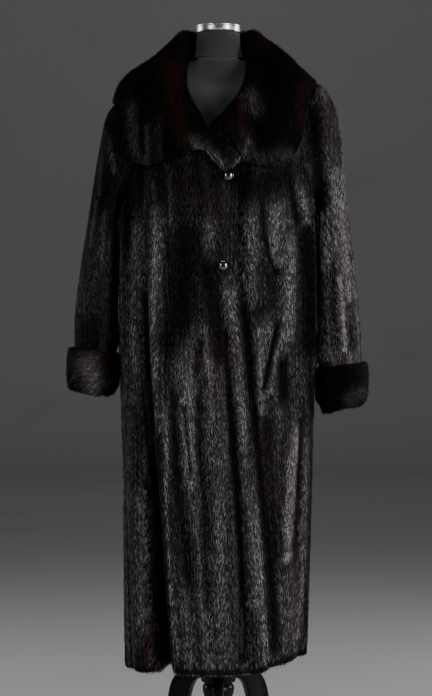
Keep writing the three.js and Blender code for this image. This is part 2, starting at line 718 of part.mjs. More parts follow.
function collar(under) {
  const caster = new THREE.Raycaster();
  // How far a point must be from the collar's centre to clear the cloth under it
  const clearance = (place, half, gap) => {
    const way = place.clone().sub(collarCentre).normalize();
    caster.set(collarCentre, way);
    const far = caster.intersectObjects(under, false).pop();
    if (!far) return 0;
    const facing = Math.max(Math.abs(far.face.normal.dot(way)), steepest);
    return far.distance + (half + gap) / facing;
  };
  const paths = [];
  const halves = [];
  for (const station of collarStations) {
    const { place, outward, past } = collarRoot(station);
    const upright = station.lapel ? smoothstep(station.height, standRise.from, standRise.to) : 1;
    const inward = new THREE.Vector3(-place.x, -place.y, 0).normalize();
    const lean = lerp(backLean, sideLean, Math.abs(inward.x));
    const rising = up.clone().addScaledVector(inward, lean).normalize();
    const way = past.clone().lerp(rising, upright).normalize();
    const skew = Math.sqrt(Math.max(1 - way.dot(past) ** 2, 0));
    const root = place.clone().addScaledVector(past, 2 * seam + (skew * standWall) / 2);
    const away = outward.clone().addScaledVector(way, -outward.dot(way)).normalize();
    const sideways = inward.clone().negate();
    sideways.addScaledVector(way, -sideways.dot(way)).normalize();
    away.lerp(sideways, upright).normalize();
    const crown = root.clone().addScaledVector(way, station.stand).addScaledVector(away, rollRadius);
    const path = [root];
    const half = [standWall / 2];
    for (const step of [0.5, 1]) {
      path.push(root.clone().addScaledVector(way, station.stand * step));
      half.push(standWall / 2);
    }
    for (const angle of rollAngles) {
      const rim = crown.clone().addScaledVector(away, -rollRadius * Math.cos(rad(angle)));
      path.push(rim.addScaledVector(way, rollRadius * Math.sin(rad(angle))));
      half.push(lerp(standWall, fallWall, angle / 180) / 2);
    }
    const start = crown.clone().addScaledVector(away, rollRadius);
    const edge = new THREE.Vector3(station.x, station.y, station.z);
    const gap = lerp(lapelGap, shoulderGap, upright);
    const bulge = station.lapel ? lerp(lapelBulge, fallBulge, upright) : fallBulge;
    for (let i = 0; i <= fallSteps; i++) {
      const share = i / fallSteps;
      const thin = lerp(fallWall, fallWall * edgeThin, share ** 3) / 2;
      const point = start.clone().lerp(edge, share);
      const out = point.clone().sub(collarCentre);
      const reach = out.length() + bulge * Math.sin(Math.PI * share);
      const least = i === 0 ? 0 : clearance(point, thin, gap);
      point.copy(collarCentre).addScaledVector(out.normalize(), Math.max(reach, least));
      path.push(point);
      half.push(thin);
    }
    paths.push(path);
    halves.push(half);
  }
  const outer = offsetGrid(paths, (i, j) => halves[i][j], false);
  const inner = offsetGrid(paths, (i, j) => -halves[i][j], false);
  return wallBetween(outer, inner);
}

// A domed button that rests on the right front
function button({ turn, height }, cloth) {
  const away = coatOutward(turn, height);
  const place = coatOutside(turn, height);
  const caster = new THREE.Raycaster();
  const aside = new THREE.Vector3().crossVectors(up, away).normalize();
  const upward = new THREE.Vector3().crossVectors(away, aside);
  let highest = -Infinity;
  for (let j = 0; j < buttonProbes; j++) {
    for (const share of [0, 0.5, 1]) {
      const angle = (2 * Math.PI * j) / buttonProbes;
      const start = place.clone().addScaledVector(away, probeReach);
      start.addScaledVector(aside, share * buttonRadius * Math.cos(angle));
      start.addScaledVector(upward, share * buttonRadius * Math.sin(angle));
      caster.set(start, away.clone().negate());
      const hit = caster.intersectObject(cloth, false)[0];
      if (hit) highest = Math.max(highest, probeReach - hit.distance);
    }
  }
  const profile = [new THREE.Vector2(0, 0), new THREE.Vector2(buttonRadius * buttonBack, 0)];
  profile.push(new THREE.Vector2(buttonRadius, buttonBevel));
  const arcSteps = 5;
  for (let i = 0; i <= arcSteps; i++) {
    const angle = (Math.PI / 2) * (i / arcSteps);
    const radius = i === arcSteps ? 0 : buttonRadius * Math.cos(angle);
    profile.push(new THREE.Vector2(radius, buttonRim + buttonDome * Math.sin(angle)));
  }
  const geometry = new THREE.LatheGeometry(profile, buttonSegments);
  const mesh = new THREE.Mesh(geometry, buttonMaterial());
  mesh.position.copy(place).addScaledVector(away, highest + seam);
  mesh.quaternion.setFromUnitVectors(new THREE.Vector3(0, 1, 0), away);
  return mesh;
}

function formTorso() {
  const turns = Array.from({ length: formColumns }, (_, j) => (360 * j) / formColumns);
  const rings = formRings.map((row) =>
    turns.map((turn) => ringPoint(formRings, turn, row.side).place),
  );
  for (const height of formShoulderHeights) {
    rings.push(
      turns.map((turn) => {
        const ease = formTouch + formEase * Math.cos(rad(turn)) ** 2;
        return coatUnder(turn, height, wall + ease);
      }),
    );
  }
  const top = neckProfile[0].radius + seamEase;
  rings.push(
    turns.map(
      (turn) => new THREE.Vector3(top * Math.sin(rad(turn)), -top * Math.cos(rad(turn)), neckSeam),
    ),
  );
  return stackOf(rings);
}

// A turned piece from a table of radii, standing on +Z
function turned(profile, foot, segments) {
  const line = profile.map((row) => new THREE.Vector2(row.radius, row.height));
  if (line[0].x > 0) line.unshift(new THREE.Vector2(0, line[0].y));
  line.push(new THREE.Vector2(0, line[line.length - 1].y));
  const geometry = new THREE.LatheGeometry(line, segments);
  geometry.rotateX(Math.PI / 2);
  geometry.translate(0, 0, foot);
  return geometry;
}

// A leg's outline, out from the hub and down to its foot
function legOutline() {
  const shape = new THREE.Shape();
  shape.moveTo(legStart.out, legStart.height);
  const draw = ["lineTo", "quadraticCurveTo", "bezierCurveTo"];
  for (const row of legLine) shape[draw[row.length / 2 - 1]](...row);
  return shape;
}

function leg(turn) {
  const geometry = new THREE.ExtrudeGeometry(legOutline(), {
    depth: legThickness,
    bevelEnabled: false,
    curveSegments: legSegments,
  });
  geometry.translate(0, 0, -legThickness / 2);
  geometry.rotateX(Math.PI / 2);
  geometry.rotateZ(rad(turn - 90));
  return geometry;
}

const root = new THREE.Group();

function add(name, geometry, material) {
  const mesh = new THREE.Mesh(geometry, material);
  mesh.name = name;
  root.add(mesh);
  mesh.updateMatrixWorld();
  return mesh;
}

const rightFront = add("coat_front_right", frontRight(), furMaterial());
const leftFront = add("coat_front_left", frontLeft(), furMaterial());
const backPanel = add("coat_back", back(), furMaterial());
const rightSleeve = add("sleeve_right", sleeve(-1, sleeveRight), furMaterial());
const leftSleeve = add("sleeve_left", sleeve(1, sleeveLeft), furMaterial());
add("cuff_right", cuff(-1, sleeveRight), furMaterial());
add("cuff_left", cuff(1, sleeveLeft), furMaterial());
const underCollar = [rightFront, leftFront, backPanel, rightSleeve, leftSleeve];
for (const mesh of underCollar) mesh.material.side = THREE.DoubleSide;
add("collar", collar(underCollar), furMaterial());
for (const place of buttons) {
  const mesh = button(place, rightFront);
  mesh.name = place.name;
  root.add(mesh);
}

add("form_torso", formTorso(), jerseyMaterial());
add("form_neck", turned(neckProfile, 0, roundSegments), jerseyMaterial());
add("neck_cap", turned(capProfile, capFoot, capSegments), chromeMaterial());
const poleHeight = formRings[0].side - hubTop - 2 * seam;
const pole = new THREE.CylinderGeometry(poleRadius, poleRadius, poleHeight, roundSegments);
pole.rotateX(Math.PI / 2);
pole.translate(0, 0, hubTop + seam + poleHeight / 2);
add("stand_pole", pole, paintMaterial());
add("stand_hub", turned(hubProfile, 0, roundSegments), paintMaterial());
add("leg_front", leg(0), paintMaterial());
add("leg_left", leg(120), paintMaterial());
add("leg_right", leg(-120), paintMaterial());
root.position.y = poleBehind;

export default root;
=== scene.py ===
# A full-length fur coat on a dress form, dressed over the solid model. Metres, +Z up, front toward -Y.
import math

import bmesh
import bpy
import numpy as np
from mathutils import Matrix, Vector
from mathutils.bvhtree import BVHTree


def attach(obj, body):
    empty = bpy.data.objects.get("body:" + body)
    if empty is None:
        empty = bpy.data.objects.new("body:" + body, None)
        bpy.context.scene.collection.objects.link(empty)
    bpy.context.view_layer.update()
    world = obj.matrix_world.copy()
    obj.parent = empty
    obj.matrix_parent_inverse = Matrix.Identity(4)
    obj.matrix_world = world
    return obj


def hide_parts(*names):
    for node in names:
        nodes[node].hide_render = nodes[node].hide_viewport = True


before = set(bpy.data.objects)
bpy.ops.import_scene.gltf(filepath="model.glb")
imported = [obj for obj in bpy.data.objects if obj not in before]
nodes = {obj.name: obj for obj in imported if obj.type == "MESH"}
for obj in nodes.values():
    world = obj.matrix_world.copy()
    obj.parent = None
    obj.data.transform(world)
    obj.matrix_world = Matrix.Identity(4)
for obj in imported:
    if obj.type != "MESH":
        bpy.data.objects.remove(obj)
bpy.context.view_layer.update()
bpy.ops.object.select_all(action="DESELECT")
print("frame loaded")

millimetre = 0.001
axisY = 0.057  # the stand's pole stands here
mergeWithin = 0.00002
smoothAngle = math.radians(38)


# Camera, floor and lights
camera = {
    "place": (-0.005, -4.0 + axisY, 0.894), "lens": 99.5, "sensor": 36.0,
}
white = (1.0, 1.0, 1.0)
coolWhite = (0.96, 0.97, 1.0)
lamps = {
    "key_light": {"place": (2.6, -2.4, 1.3), "size": (0.9, 2.0), "power": 95, "tint": (1.0, 0.98, 0.97)},
    "fill_light": {"place": (-2.4, -3.0, 1.6), "size": (0.9, 1.8), "power": 30, "tint": (0.97, 0.97, 1.0)},
    "left_rim_light": {"place": (-2.6, 1.0, 1.7), "size": (0.7, 2.2), "power": 35, "tint": coolWhite},
    "right_rim_light": {"place": (2.6, 0.9, 1.7), "size": (0.7, 2.2), "power": 50, "tint": coolWhite},
    "top_light": {"place": (0.0, -0.4, 3.8), "size": (2.4, 1.6), "power": 20, "tint": white},
    "backdrop_light": {
        "place": (0, 6.5, 6.5), "size": (6, 1.5), "power": 45, "tint": white, "aim": (0, 12, 0),
    },
}
coatMiddle = (0, axisY, 0.9)
air = {"colour": (0.5, 0.5, 0.52, 1), "strength": 0.08}
floor = {"half": 14.0, "wallAt": 10.0, "bend": 2.0, "height": 8.0, "bendSteps": 10}


def addObject(name, data):
    obj = bpy.data.objects.new(name, data)
    bpy.context.collection.objects.link(obj)
    return obj


def makeCamera():
    data = bpy.data.cameras.new("camera")
    data.lens = camera["lens"]
    data.sensor_width = camera["sensor"]
    obj = addObject("camera", data)
    obj.location = camera["place"]
    obj.rotation_euler = (math.pi / 2, 0, 0)
    bpy.context.scene.camera = obj


def makeLamps():
    for name, lamp in lamps.items():
        data = bpy.data.lights.new(name, "AREA")
        data.shape = "RECTANGLE"
        data.size, data.size_y = lamp["size"]
        data.energy = lamp["power"]
        data.color = lamp["tint"]
        obj = addObject(name, data)
        obj.location = lamp["place"]
        way = Vector(lamp.get("aim", coatMiddle)) - obj.location
        obj.rotation_euler = way.to_track_quat("-Z", "Y").to_euler()
    world = bpy.data.worlds.new("studio_air")
    world.use_nodes = True
    background = world.node_tree.nodes["Background"]
    background.inputs["Color"].default_value = air["colour"]
    background.inputs["Strength"].default_value = air["strength"]
    bpy.context.scene.world = world


makeCamera()
makeLamps()
print("camera and lamps")


# Helpers for shader nodes. A group's inputs are colours where a tuple is given, and floats otherwise.
def makeGroup(name, inputs, outputs):
    group = bpy.data.node_groups.new(name, "ShaderNodeTree")
    for label, value in inputs.items():
        kind = "NodeSocketColor" if isinstance(value, tuple) else "NodeSocketFloat"
        socket = group.interface.new_socket(name=label, in_out="INPUT", socket_type=kind)
        socket.default_value = value
    for label in outputs:
        kind = "NodeSocketColor" if label == "Color" else "NodeSocketFloat"
        group.interface.new_socket(name=label, in_out="OUTPUT", socket_type=kind)
    return group, group.nodes.new("NodeGroupInput"), group.nodes.new("NodeGroupOutput")


def put(tree, kind, values=None, **settings):
    node = tree.nodes.new(kind)
    for key, value in settings.items():
        setattr(node, key, value)
    for key, value in (values or {}).items():
        if isinstance(value, bpy.types.NodeSocket):
            tree.links.new(value, node.inputs[key])
        else:
            node.inputs[key].default_value = value
    return node


def sums(tree, operation, first, second=0.0, clamped=False):
    node = put(tree, "ShaderNodeMath", {0: first, 1: second}, operation=operation, use_clamp=clamped)
    return node.outputs[0]


def blendColours(tree, share, first, second, mode="MIX"):
    node = put(tree, "ShaderNodeMix", data_type="RGBA", blend_type=mode)
    for socket, value in ((node.inputs[0], share), (node.inputs[6], first), (node.inputs[7], second)):
        if isinstance(value, bpy.types.NodeSocket):
            tree.links.new(value, socket)
        else:
            socket.default_value = value
    return node.outputs[2]


def spread(tree, value, low, high, fromLow=0.0, fromHigh=1.0):
    node = put(tree, "ShaderNodeMapRange", {0: value, 1: fromLow, 2: fromHigh, 3: low, 4: high})
    return node.outputs[0]


# Colour of a hair: from dark to a painted sheen by its tone, with painted shade darker at the root, each
# hair a little different, and warm in patches. The tone's red is the way along the hair, green a chance and
# blue the amount of painted sheen.
strandShade = {
    "sparkle": (0.75, 1.3), "curve": 1.75, "rootLight": 0.35, "patchDetail": 3.0,
    "patchFrom": 0.5, "patchTo": 0.72, "placedShare": 0.6, "roughness": (0.7, 0.35),
}


def makeStrandSheen():
    group, given, result = makeGroup(
        "strand_painted_sheen",
        {
            "Tone": (0.5, 0.5, 0.5, 1),
            "Warmth": 0.0,
            "Dark": (0, 0, 0, 1),
            "Light": (0, 0, 0, 1),
            "Warm": (0, 0, 0, 1),
            "Patch Size": 5.0,
            "Patch Share": 0.5,
        },
        ["Color", "Roughness"],
    )
    parts = put(group, "ShaderNodeSeparateColor", {0: given.outputs["Tone"]})
    along, chance, light = parts.outputs[0], parts.outputs[1], parts.outputs[2]
    sparkle = spread(group, chance, *strandShade["sparkle"])
    mixed = sums(group, "MULTIPLY", sums(group, "POWER", light, strandShade["curve"]), sparkle)
    # Painted sheen: the Light colour mixed in by the hair's lightness, with painted shade toward the root
    lit = sums(group, "MULTIPLY", mixed, spread(group, along, strandShade["rootLight"], 1.0), clamped=True)
    colour = blendColours(group, lit, given.outputs["Dark"], given.outputs["Light"])
    coords = put(group, "ShaderNodeTexCoord")
    place = {"Vector": coords.outputs["Object"], "Scale": given.outputs["Patch Size"]}
    noise = put(group, "ShaderNodeTexNoise", place)
    noise.inputs["Detail"].default_value = strandShade["patchDetail"]
    patch = spread(group, noise.outputs[0], 0.0, 1.0, strandShade["patchFrom"], strandShade["patchTo"])
    placed = sums(group, "MULTIPLY", given.outputs["Warmth"], strandShade["placedShare"])
    patch = sums(group, "MULTIPLY", patch, given.outputs["Patch Share"])
    warmth = sums(group, "ADD", patch, placed, clamped=True)
    colour = blendColours(group, warmth, colour, given.outputs["Warm"])
    group.links.new(colour, result.inputs["Color"])
    group.links.new(spread(group, light, *strandShade["roughness"]), result.inputs["Roughness"])
    return group


# Knitted or woven cloth: two crossed waves with a little fuzz
weaveShape = {
    "distortion": 0.6, "fuzzScale": 260.0, "fuzzDetail": 5.0, "fuzzShare": 0.5,
    "lighter": (1.9, 1.9, 1.9, 1), "roughness": (0.8, 0.95),
}


def makeWeave():
    group, given, result = makeGroup(
        "weave",
        {
            "Color": (0, 0, 0, 1),
            "Thread Scale": 600.0,
            "Contrast": 0.3,
        },
        ["Color", "Height", "Roughness"],
    )
    coords = put(group, "ShaderNodeTexCoord")
    heights = []
    for direction in ("X", "Z"):
        wave = put(
            group,
            "ShaderNodeTexWave",
            {"Vector": coords.outputs["Object"], "Scale": given.outputs["Thread Scale"]},
            bands_direction=direction,
        )
        wave.inputs["Distortion"].default_value = weaveShape["distortion"]
        heights.append(wave.outputs[1])
    fuzz = put(
        group,
        "ShaderNodeTexNoise",
        {
            "Vector": coords.outputs["Object"],
            "Scale": weaveShape["fuzzScale"],
            "Detail": weaveShape["fuzzDetail"],
        },
    )
    crossed = sums(group, "MULTIPLY", heights[0], heights[1])
    height = sums(group, "ADD", crossed, sums(group, "MULTIPLY", fuzz.outputs[0], weaveShape["fuzzShare"]))
    shade = sums(group, "MULTIPLY", height, given.outputs["Contrast"])
    lighter = blendColours(group, 1.0, given.outputs["Color"], weaveShape["lighter"], "MULTIPLY")
    group.links.new(blendColours(group, shade, given.outputs["Color"], lighter), result.inputs["Color"])
    group.links.new(height, result.inputs["Height"])
    group.links.new(spread(group, fuzz.outputs[0], *weaveShape["roughness"]), result.inputs["Roughness"])
    return group


# Handling marks and fine grain under paint or polish
grainShape = {
    "detail": 6.0, "roughness": 0.6, "wornFrom": 0.55, "wornTo": 0.8, "glossFrom": 0.3,
    "glossTo": 0.7,
}


def makeGrain():
    group, given, result = makeGroup(
        "grain",
        {
            "Color": (0, 0, 0, 1),
            "Worn": (0, 0, 0, 1),
            "Scale": 30.0, "Stretch": 0.15,
            "Gloss Low": 0.2, "Gloss High": 0.4,
        },
        ["Color", "Height", "Roughness"],
    )
    coords = put(group, "ShaderNodeTexCoord")
    stretch = put(group, "ShaderNodeCombineXYZ", {0: 1.0, 1: 1.0, 2: given.outputs["Stretch"]})
    mapping = put(
        group, "ShaderNodeMapping", {"Vector": coords.outputs["Object"], "Scale": stretch.outputs[0]}
    )
    noise = put(
        group,
        "ShaderNodeTexNoise",
        {
            "Vector": mapping.outputs[0],
            "Scale": given.outputs["Scale"],
            "Detail": grainShape["detail"],
            "Roughness": grainShape["roughness"],
        },
    )
    worn = spread(group, noise.outputs[0], 0.0, 1.0, grainShape["wornFrom"], grainShape["wornTo"])
    colour = blendColours(group, worn, given.outputs["Color"], given.outputs["Worn"])
    rough = spread(
        group,
        noise.outputs[0],
        given.outputs["Gloss Low"],
        given.outputs["Gloss High"],
        grainShape["glossFrom"],
        grainShape["glossTo"],
    )
    group.links.new(colour, result.inputs["Color"])
    group.links.new(noise.outputs[0], result.inputs["Height"])
    group.links.new(rough, result.inputs["Roughness"])
    return group


strandSheen = makeStrandSheen()
weave = makeWeave()
grain = makeGrain()


# A material on one of the groups: its values, the shader's own, and the bump's strength and depth
def makeMaterial(name, group, values, fixed=None, bump=None):
    material = bpy.data.materials.new(name)
    material.use_nodes = True
    tree = material.node_tree
    shader = tree.nodes["Principled BSDF"]
    for key, value in (fixed or {}).items():
        shader.inputs[key].default_value = value
    node = put(tree, "ShaderNodeGroup", node_tree=group)
    for key, value in values.items():
        node.inputs[key].default_value = value
    tree.links.new(node.outputs["Color"], shader.inputs["Base Color"])
    tree.links.new(node.outputs["Roughness"], shader.inputs["Roughness"])
    if bump:
        strength, distance = bump
        lift = put(tree, "ShaderNodeBump", {"Strength": strength, "Distance": distance})
        tree.links.new(node.outputs["Height"], lift.inputs["Height"])
        tree.links.new(lift.outputs[0], shader.inputs["Normal"])
    return material


# Fur reads each hair's tone, which carries its painted sheen and shade, from the mesh
def makeFurMaterial(name, tones, gloss):
    material = makeMaterial(name, strandSheen, tones, {"Specular IOR Level": gloss, "IOR": 1.5})
    tree = material.node_tree
    tone = put(tree, "ShaderNodeAttribute", attribute_name="furTone")
    group = next(node for node in tree.nodes if node.type == "GROUP")
    tree.links.new(tone.outputs["Color"], group.inputs["Tone"])
    tree.links.new(tone.outputs["Alpha"], group.inputs["Warmth"])
    return material


# Dark and Warm are the fur's own colours; Light is the colour of its painted sheen
furTones = {
    "Dark": (0.0011, 0.0008, 0.0007, 1),
    "Light": (0.430, 0.402, 0.432, 1),
    "Warm": (0.0260, 0.0070, 0.0045, 1),
    "Patch Size": 4.0,
    "Patch Share": 0.25,
}
bodyFur = makeFurMaterial("body_fur", furTones, 0.08)
# The collar's fur is darker and its painted sheen dimmer
collarTones = {
    **furTones,
    "Dark": (0.0006, 0.0005, 0.0005, 1),
    "Light": (0.270, 0.240, 0.245, 1),
    "Patch Size": 7.0,
    "Patch Share": 0.5,
}
collarFur = makeFurMaterial("collar_fur", collarTones, 0.025)
# The skin under the hair gets a dimmer painted sheen
underTones = {**furTones, "Light": (0.062, 0.058, 0.062, 1)}
underFur = makeFurMaterial("under_fur", underTones, 0.02)
lining = makeMaterial(
    "lining",
    weave,
    {"Color": (0.012, 0.008, 0.008, 1), "Thread Scale": 900.0, "Contrast": 0.2},
    {"Sheen Weight": 0.3},
    bump=(0.15, 0.0004),
)
jersey = makeMaterial(
    "jersey",
    weave,
    {"Color": (0.0175, 0.0166, 0.0188, 1), "Thread Scale": 420.0, "Contrast": 0.5},
    {"Sheen Weight": 0.12, "Sheen Roughness": 0.7, "Specular IOR Level": 0.2},
    bump=(0.3, 0.0006),
)
buttonGloss = makeMaterial(
    "button_gloss",
    grain,
    {
        "Color": (0.004, 0.004, 0.0045, 1),
        "Worn": (0.008, 0.008, 0.009, 1),
        "Scale": 300.0, "Stretch": 1.0,
        "Gloss Low": 0.06, "Gloss High": 0.14,
    },
    {"Coat Weight": 1.0, "Coat Roughness": 0.04, "Coat IOR": 2.2, "Specular IOR Level": 0.8},
)
chrome = makeMaterial(
    "chrome",
    grain,
    {
        "Color": (0.78, 0.78, 0.79, 1),
        "Worn": (0.6, 0.59, 0.58, 1),
        "Scale": 60.0, "Stretch": 1.0,
        "Gloss Low": 0.14, "Gloss High": 0.4,
    },
    {"Metallic": 1.0},
)
blackPaint = makeMaterial(
    "black_paint",
    grain,
    {
        "Color": (0.0030, 0.0028, 0.0027, 1),
        "Worn": (0.009, 0.008, 0.007, 1),
        "Scale": 40.0, "Stretch": 0.2,
        "Gloss Low": 0.16, "Gloss High": 0.34,
    },
    {"Specular IOR Level": 0.2},
    bump=(0.08, 0.001),
)
studioFloor = makeMaterial(
    "studio_floor",
    grain,
    {
        "Color": (0.42, 0.42, 0.43, 1),
        "Worn": (0.37, 0.37, 0.38, 1),
        "Scale": 1.5, "Stretch": 1.0,
        "Gloss Low": 0.7, "Gloss High": 0.85,
    },
)
print("materials")


def makeFloor():
    half, wallAt, bend = floor["half"], floor["wallAt"], floor["bend"]
    profile = [(-half, 0.0), (wallAt, 0.0)]
    for step in range(1, floor["bendSteps"] + 1):
        angle = math.pi / 2 * step / floor["bendSteps"]
        profile.append((wallAt + bend * math.sin(angle), bend * (1 - math.cos(angle))))
    profile.append((wallAt + bend, floor["height"]))
    vertices = [(side * half, y, z) for y, z in profile for side in (-1, 1)]
    faces = [(2 * i, 2 * i + 1, 2 * i + 3, 2 * i + 2) for i in range(len(profile) - 1)]
    mesh = bpy.data.meshes.new("studio_floor")
    mesh.from_pydata(vertices, [], faces)
    mesh.materials.append(studioFloor)
    mesh.polygons.foreach_set("use_smooth", [True] * len(mesh.polygons))
    addObject("studio_floor", mesh)


makeFloor()
print("floor")


# Working copies of the solids
flatAngle = math.radians(50)
shapeAngle = math.radians(60)


def activate(obj):
    bpy.ops.object.select_all(action="DESELECT")
    obj.select_set(True)
    bpy.context.view_layer.objects.active = obj


def editAll(obj):
    activate(obj)
    bpy.ops.object.mode_set(mode="EDIT")
    bpy.ops.mesh.select_all(action="SELECT")


def copyNode(nodeName, name, materials):
    mesh = nodes[nodeName].data.copy()
    mesh.name = name
    obj = addObject(name, mesh)
    mesh.materials.clear()
    for material in materials:
        mesh.materials.append(material)
    editAll(obj)
    bpy.ops.mesh.remove_doubles(threshold=mergeWithin)
    bpy.ops.mesh.tris_convert_to_quads(face_threshold=flatAngle, shape_threshold=shapeAngle)
    bpy.ops.object.mode_set(mode="OBJECT")
    return obj


def subdivide(obj, levels, rimCrease=0.0, rimAngle=60):
    mesh = obj.data
    if rimCrease:
        work = bmesh.new()
        work.from_mesh(mesh)
        layer = work.edges.layers.float.new("crease_edge")
        for edge in work.edges:
            if len(edge.link_faces) == 2 and edge.calc_face_angle() > math.radians(rimAngle):
                edge[layer] = rimCrease
        work.to_mesh(mesh)
        work.free()
    modifier = obj.modifiers.new("round", "SUBSURF")
    modifier.levels = levels
    modifier.render_levels = levels
    activate(obj)
    bpy.ops.object.modifier_apply(modifier=modifier.name)
    bpy.ops.object.shade_smooth()


def finishPiece(obj, slotName, *replaced):
    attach(obj, "root")
    if replaced:
        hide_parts(*replaced)


# Cloth: each skin is a thin shell on its solid's form, a little inside it so that the hair reaches it
skins = {
    "coat_front_right": {"flat": (0.36, 1.27), "area": 0.39, "rests": "form_torso"},
    "coat_front_left": {"flat": (0.34, 1.27), "area": 0.36, "rests": "form_torso"},
    "coat_back": {"flat": (0.63, 1.29), "area": 0.63, "rests": "form_torso"},
    "sleeve_right": {"flat": (0.42, 0.62), "area": 0.165, "rests": "coat_back"},
    "sleeve_left": {"flat": (0.42, 0.66), "area": 0.182, "rests": "coat_back"},
    "cuff_right": {"flat": (0.36, 0.115), "area": 0.031, "rests": "sleeve_right"},
    "cuff_left": {"flat": (0.36, 0.115), "area": 0.031, "rests": "sleeve_left"},
    "collar": {"flat": (0.86, 0.34), "area": 0.23, "rests": "coat_back"},
}
folded = ("collar", "cuff")
# Insets are in metres. The other limits are on the cosine between a face and the way out of the piece.
skinShape = {
    "levels": 2, "rimCrease": {"body": 0.7, "sleeve": 0.7, "collar": 0.3, "cuff": 0.1},
    "inset": 0.0025, "sideInset": -0.001, "sideFrom": 0.5, "liningBelow": -0.1,
    "moveFrom": -0.1, "moveOver": 0.3, "toneFrom": 0.2, "toneOver": 0.5, "along": 0.6,
    "chance": 0.5,
}
bodyMiddle = 1.29
# The line down the middle of an arm: how far aside it is at each height, and how far behind the pole
arm = {"heights": (0.8, 1.0, 1.15, 1.3), "asides": (0.258, 0.246, 0.226, 0.21), "back": 0.005, "top": 1.3}


# 0 below a limit, rising to 1 over a stretch above it
def ramp(values, start, stretch):
    return np.clip((values - start) / stretch, 0, 1)


def sideOf(name):
    return 1 if name.endswith("left") else -1


# The point inside a piece from which its outside faces away
def middleOf(name, places):
    middle = places.copy()
    middle[:, 1] = axisY
    if name.startswith(("sleeve", "cuff")):
        height = np.minimum(places[:, 2], arm["top"])
        middle[:, 0] = sideOf(name) * np.interp(height, arm["heights"], arm["asides"])
        middle[:, 1] = axisY + arm["back"]
        middle[:, 2] = height
    else:
        middle[:, 0] = 0
        middle[:, 2] = np.minimum(places[:, 2], bodyMiddle)
    return middle


def readMesh(mesh):
    count = len(mesh.vertices)
    places = np.empty(count * 3, np.float32)
    mesh.vertices.foreach_get("co", places)
    normals = np.empty(count * 3, np.float32)
    mesh.vertices.foreach_get("normal", normals)
    mesh.calc_loop_triangles()
    corners = np.empty(len(mesh.loop_triangles) * 3, np.int32)
    mesh.loop_triangles.foreach_get("vertices", corners)
    places, normals = places.reshape(-1, 3).astype(float), normals.reshape(-1, 3).astype(float)
    return places, normals, corners.reshape(-1, 3)


def unit(vectors):
    return vectors / np.maximum(np.linalg.norm(vectors, axis=1, keepdims=True), 1e-9)


# How squarely each face looks out of its piece, from -1 to 1
def facingOut(name, places, normals):
    return np.einsum("ij,ij->i", unit(places - middleOf(name, places)), normals)


# The lie of the hair and the creases of the front. Each is a path of (x, height) on the garment with its
# half width and its depth, all in mm, and how light or dark the hair is there: painted sheen above 0, which
# also lays the hair flatter, and painted shade below 0, which also lifts it.
def fold(path, wide, tone, deep=0, warm=0):
    return {"path": path, "wide": wide, "tone": tone, "deep": deep, "warm": warm}


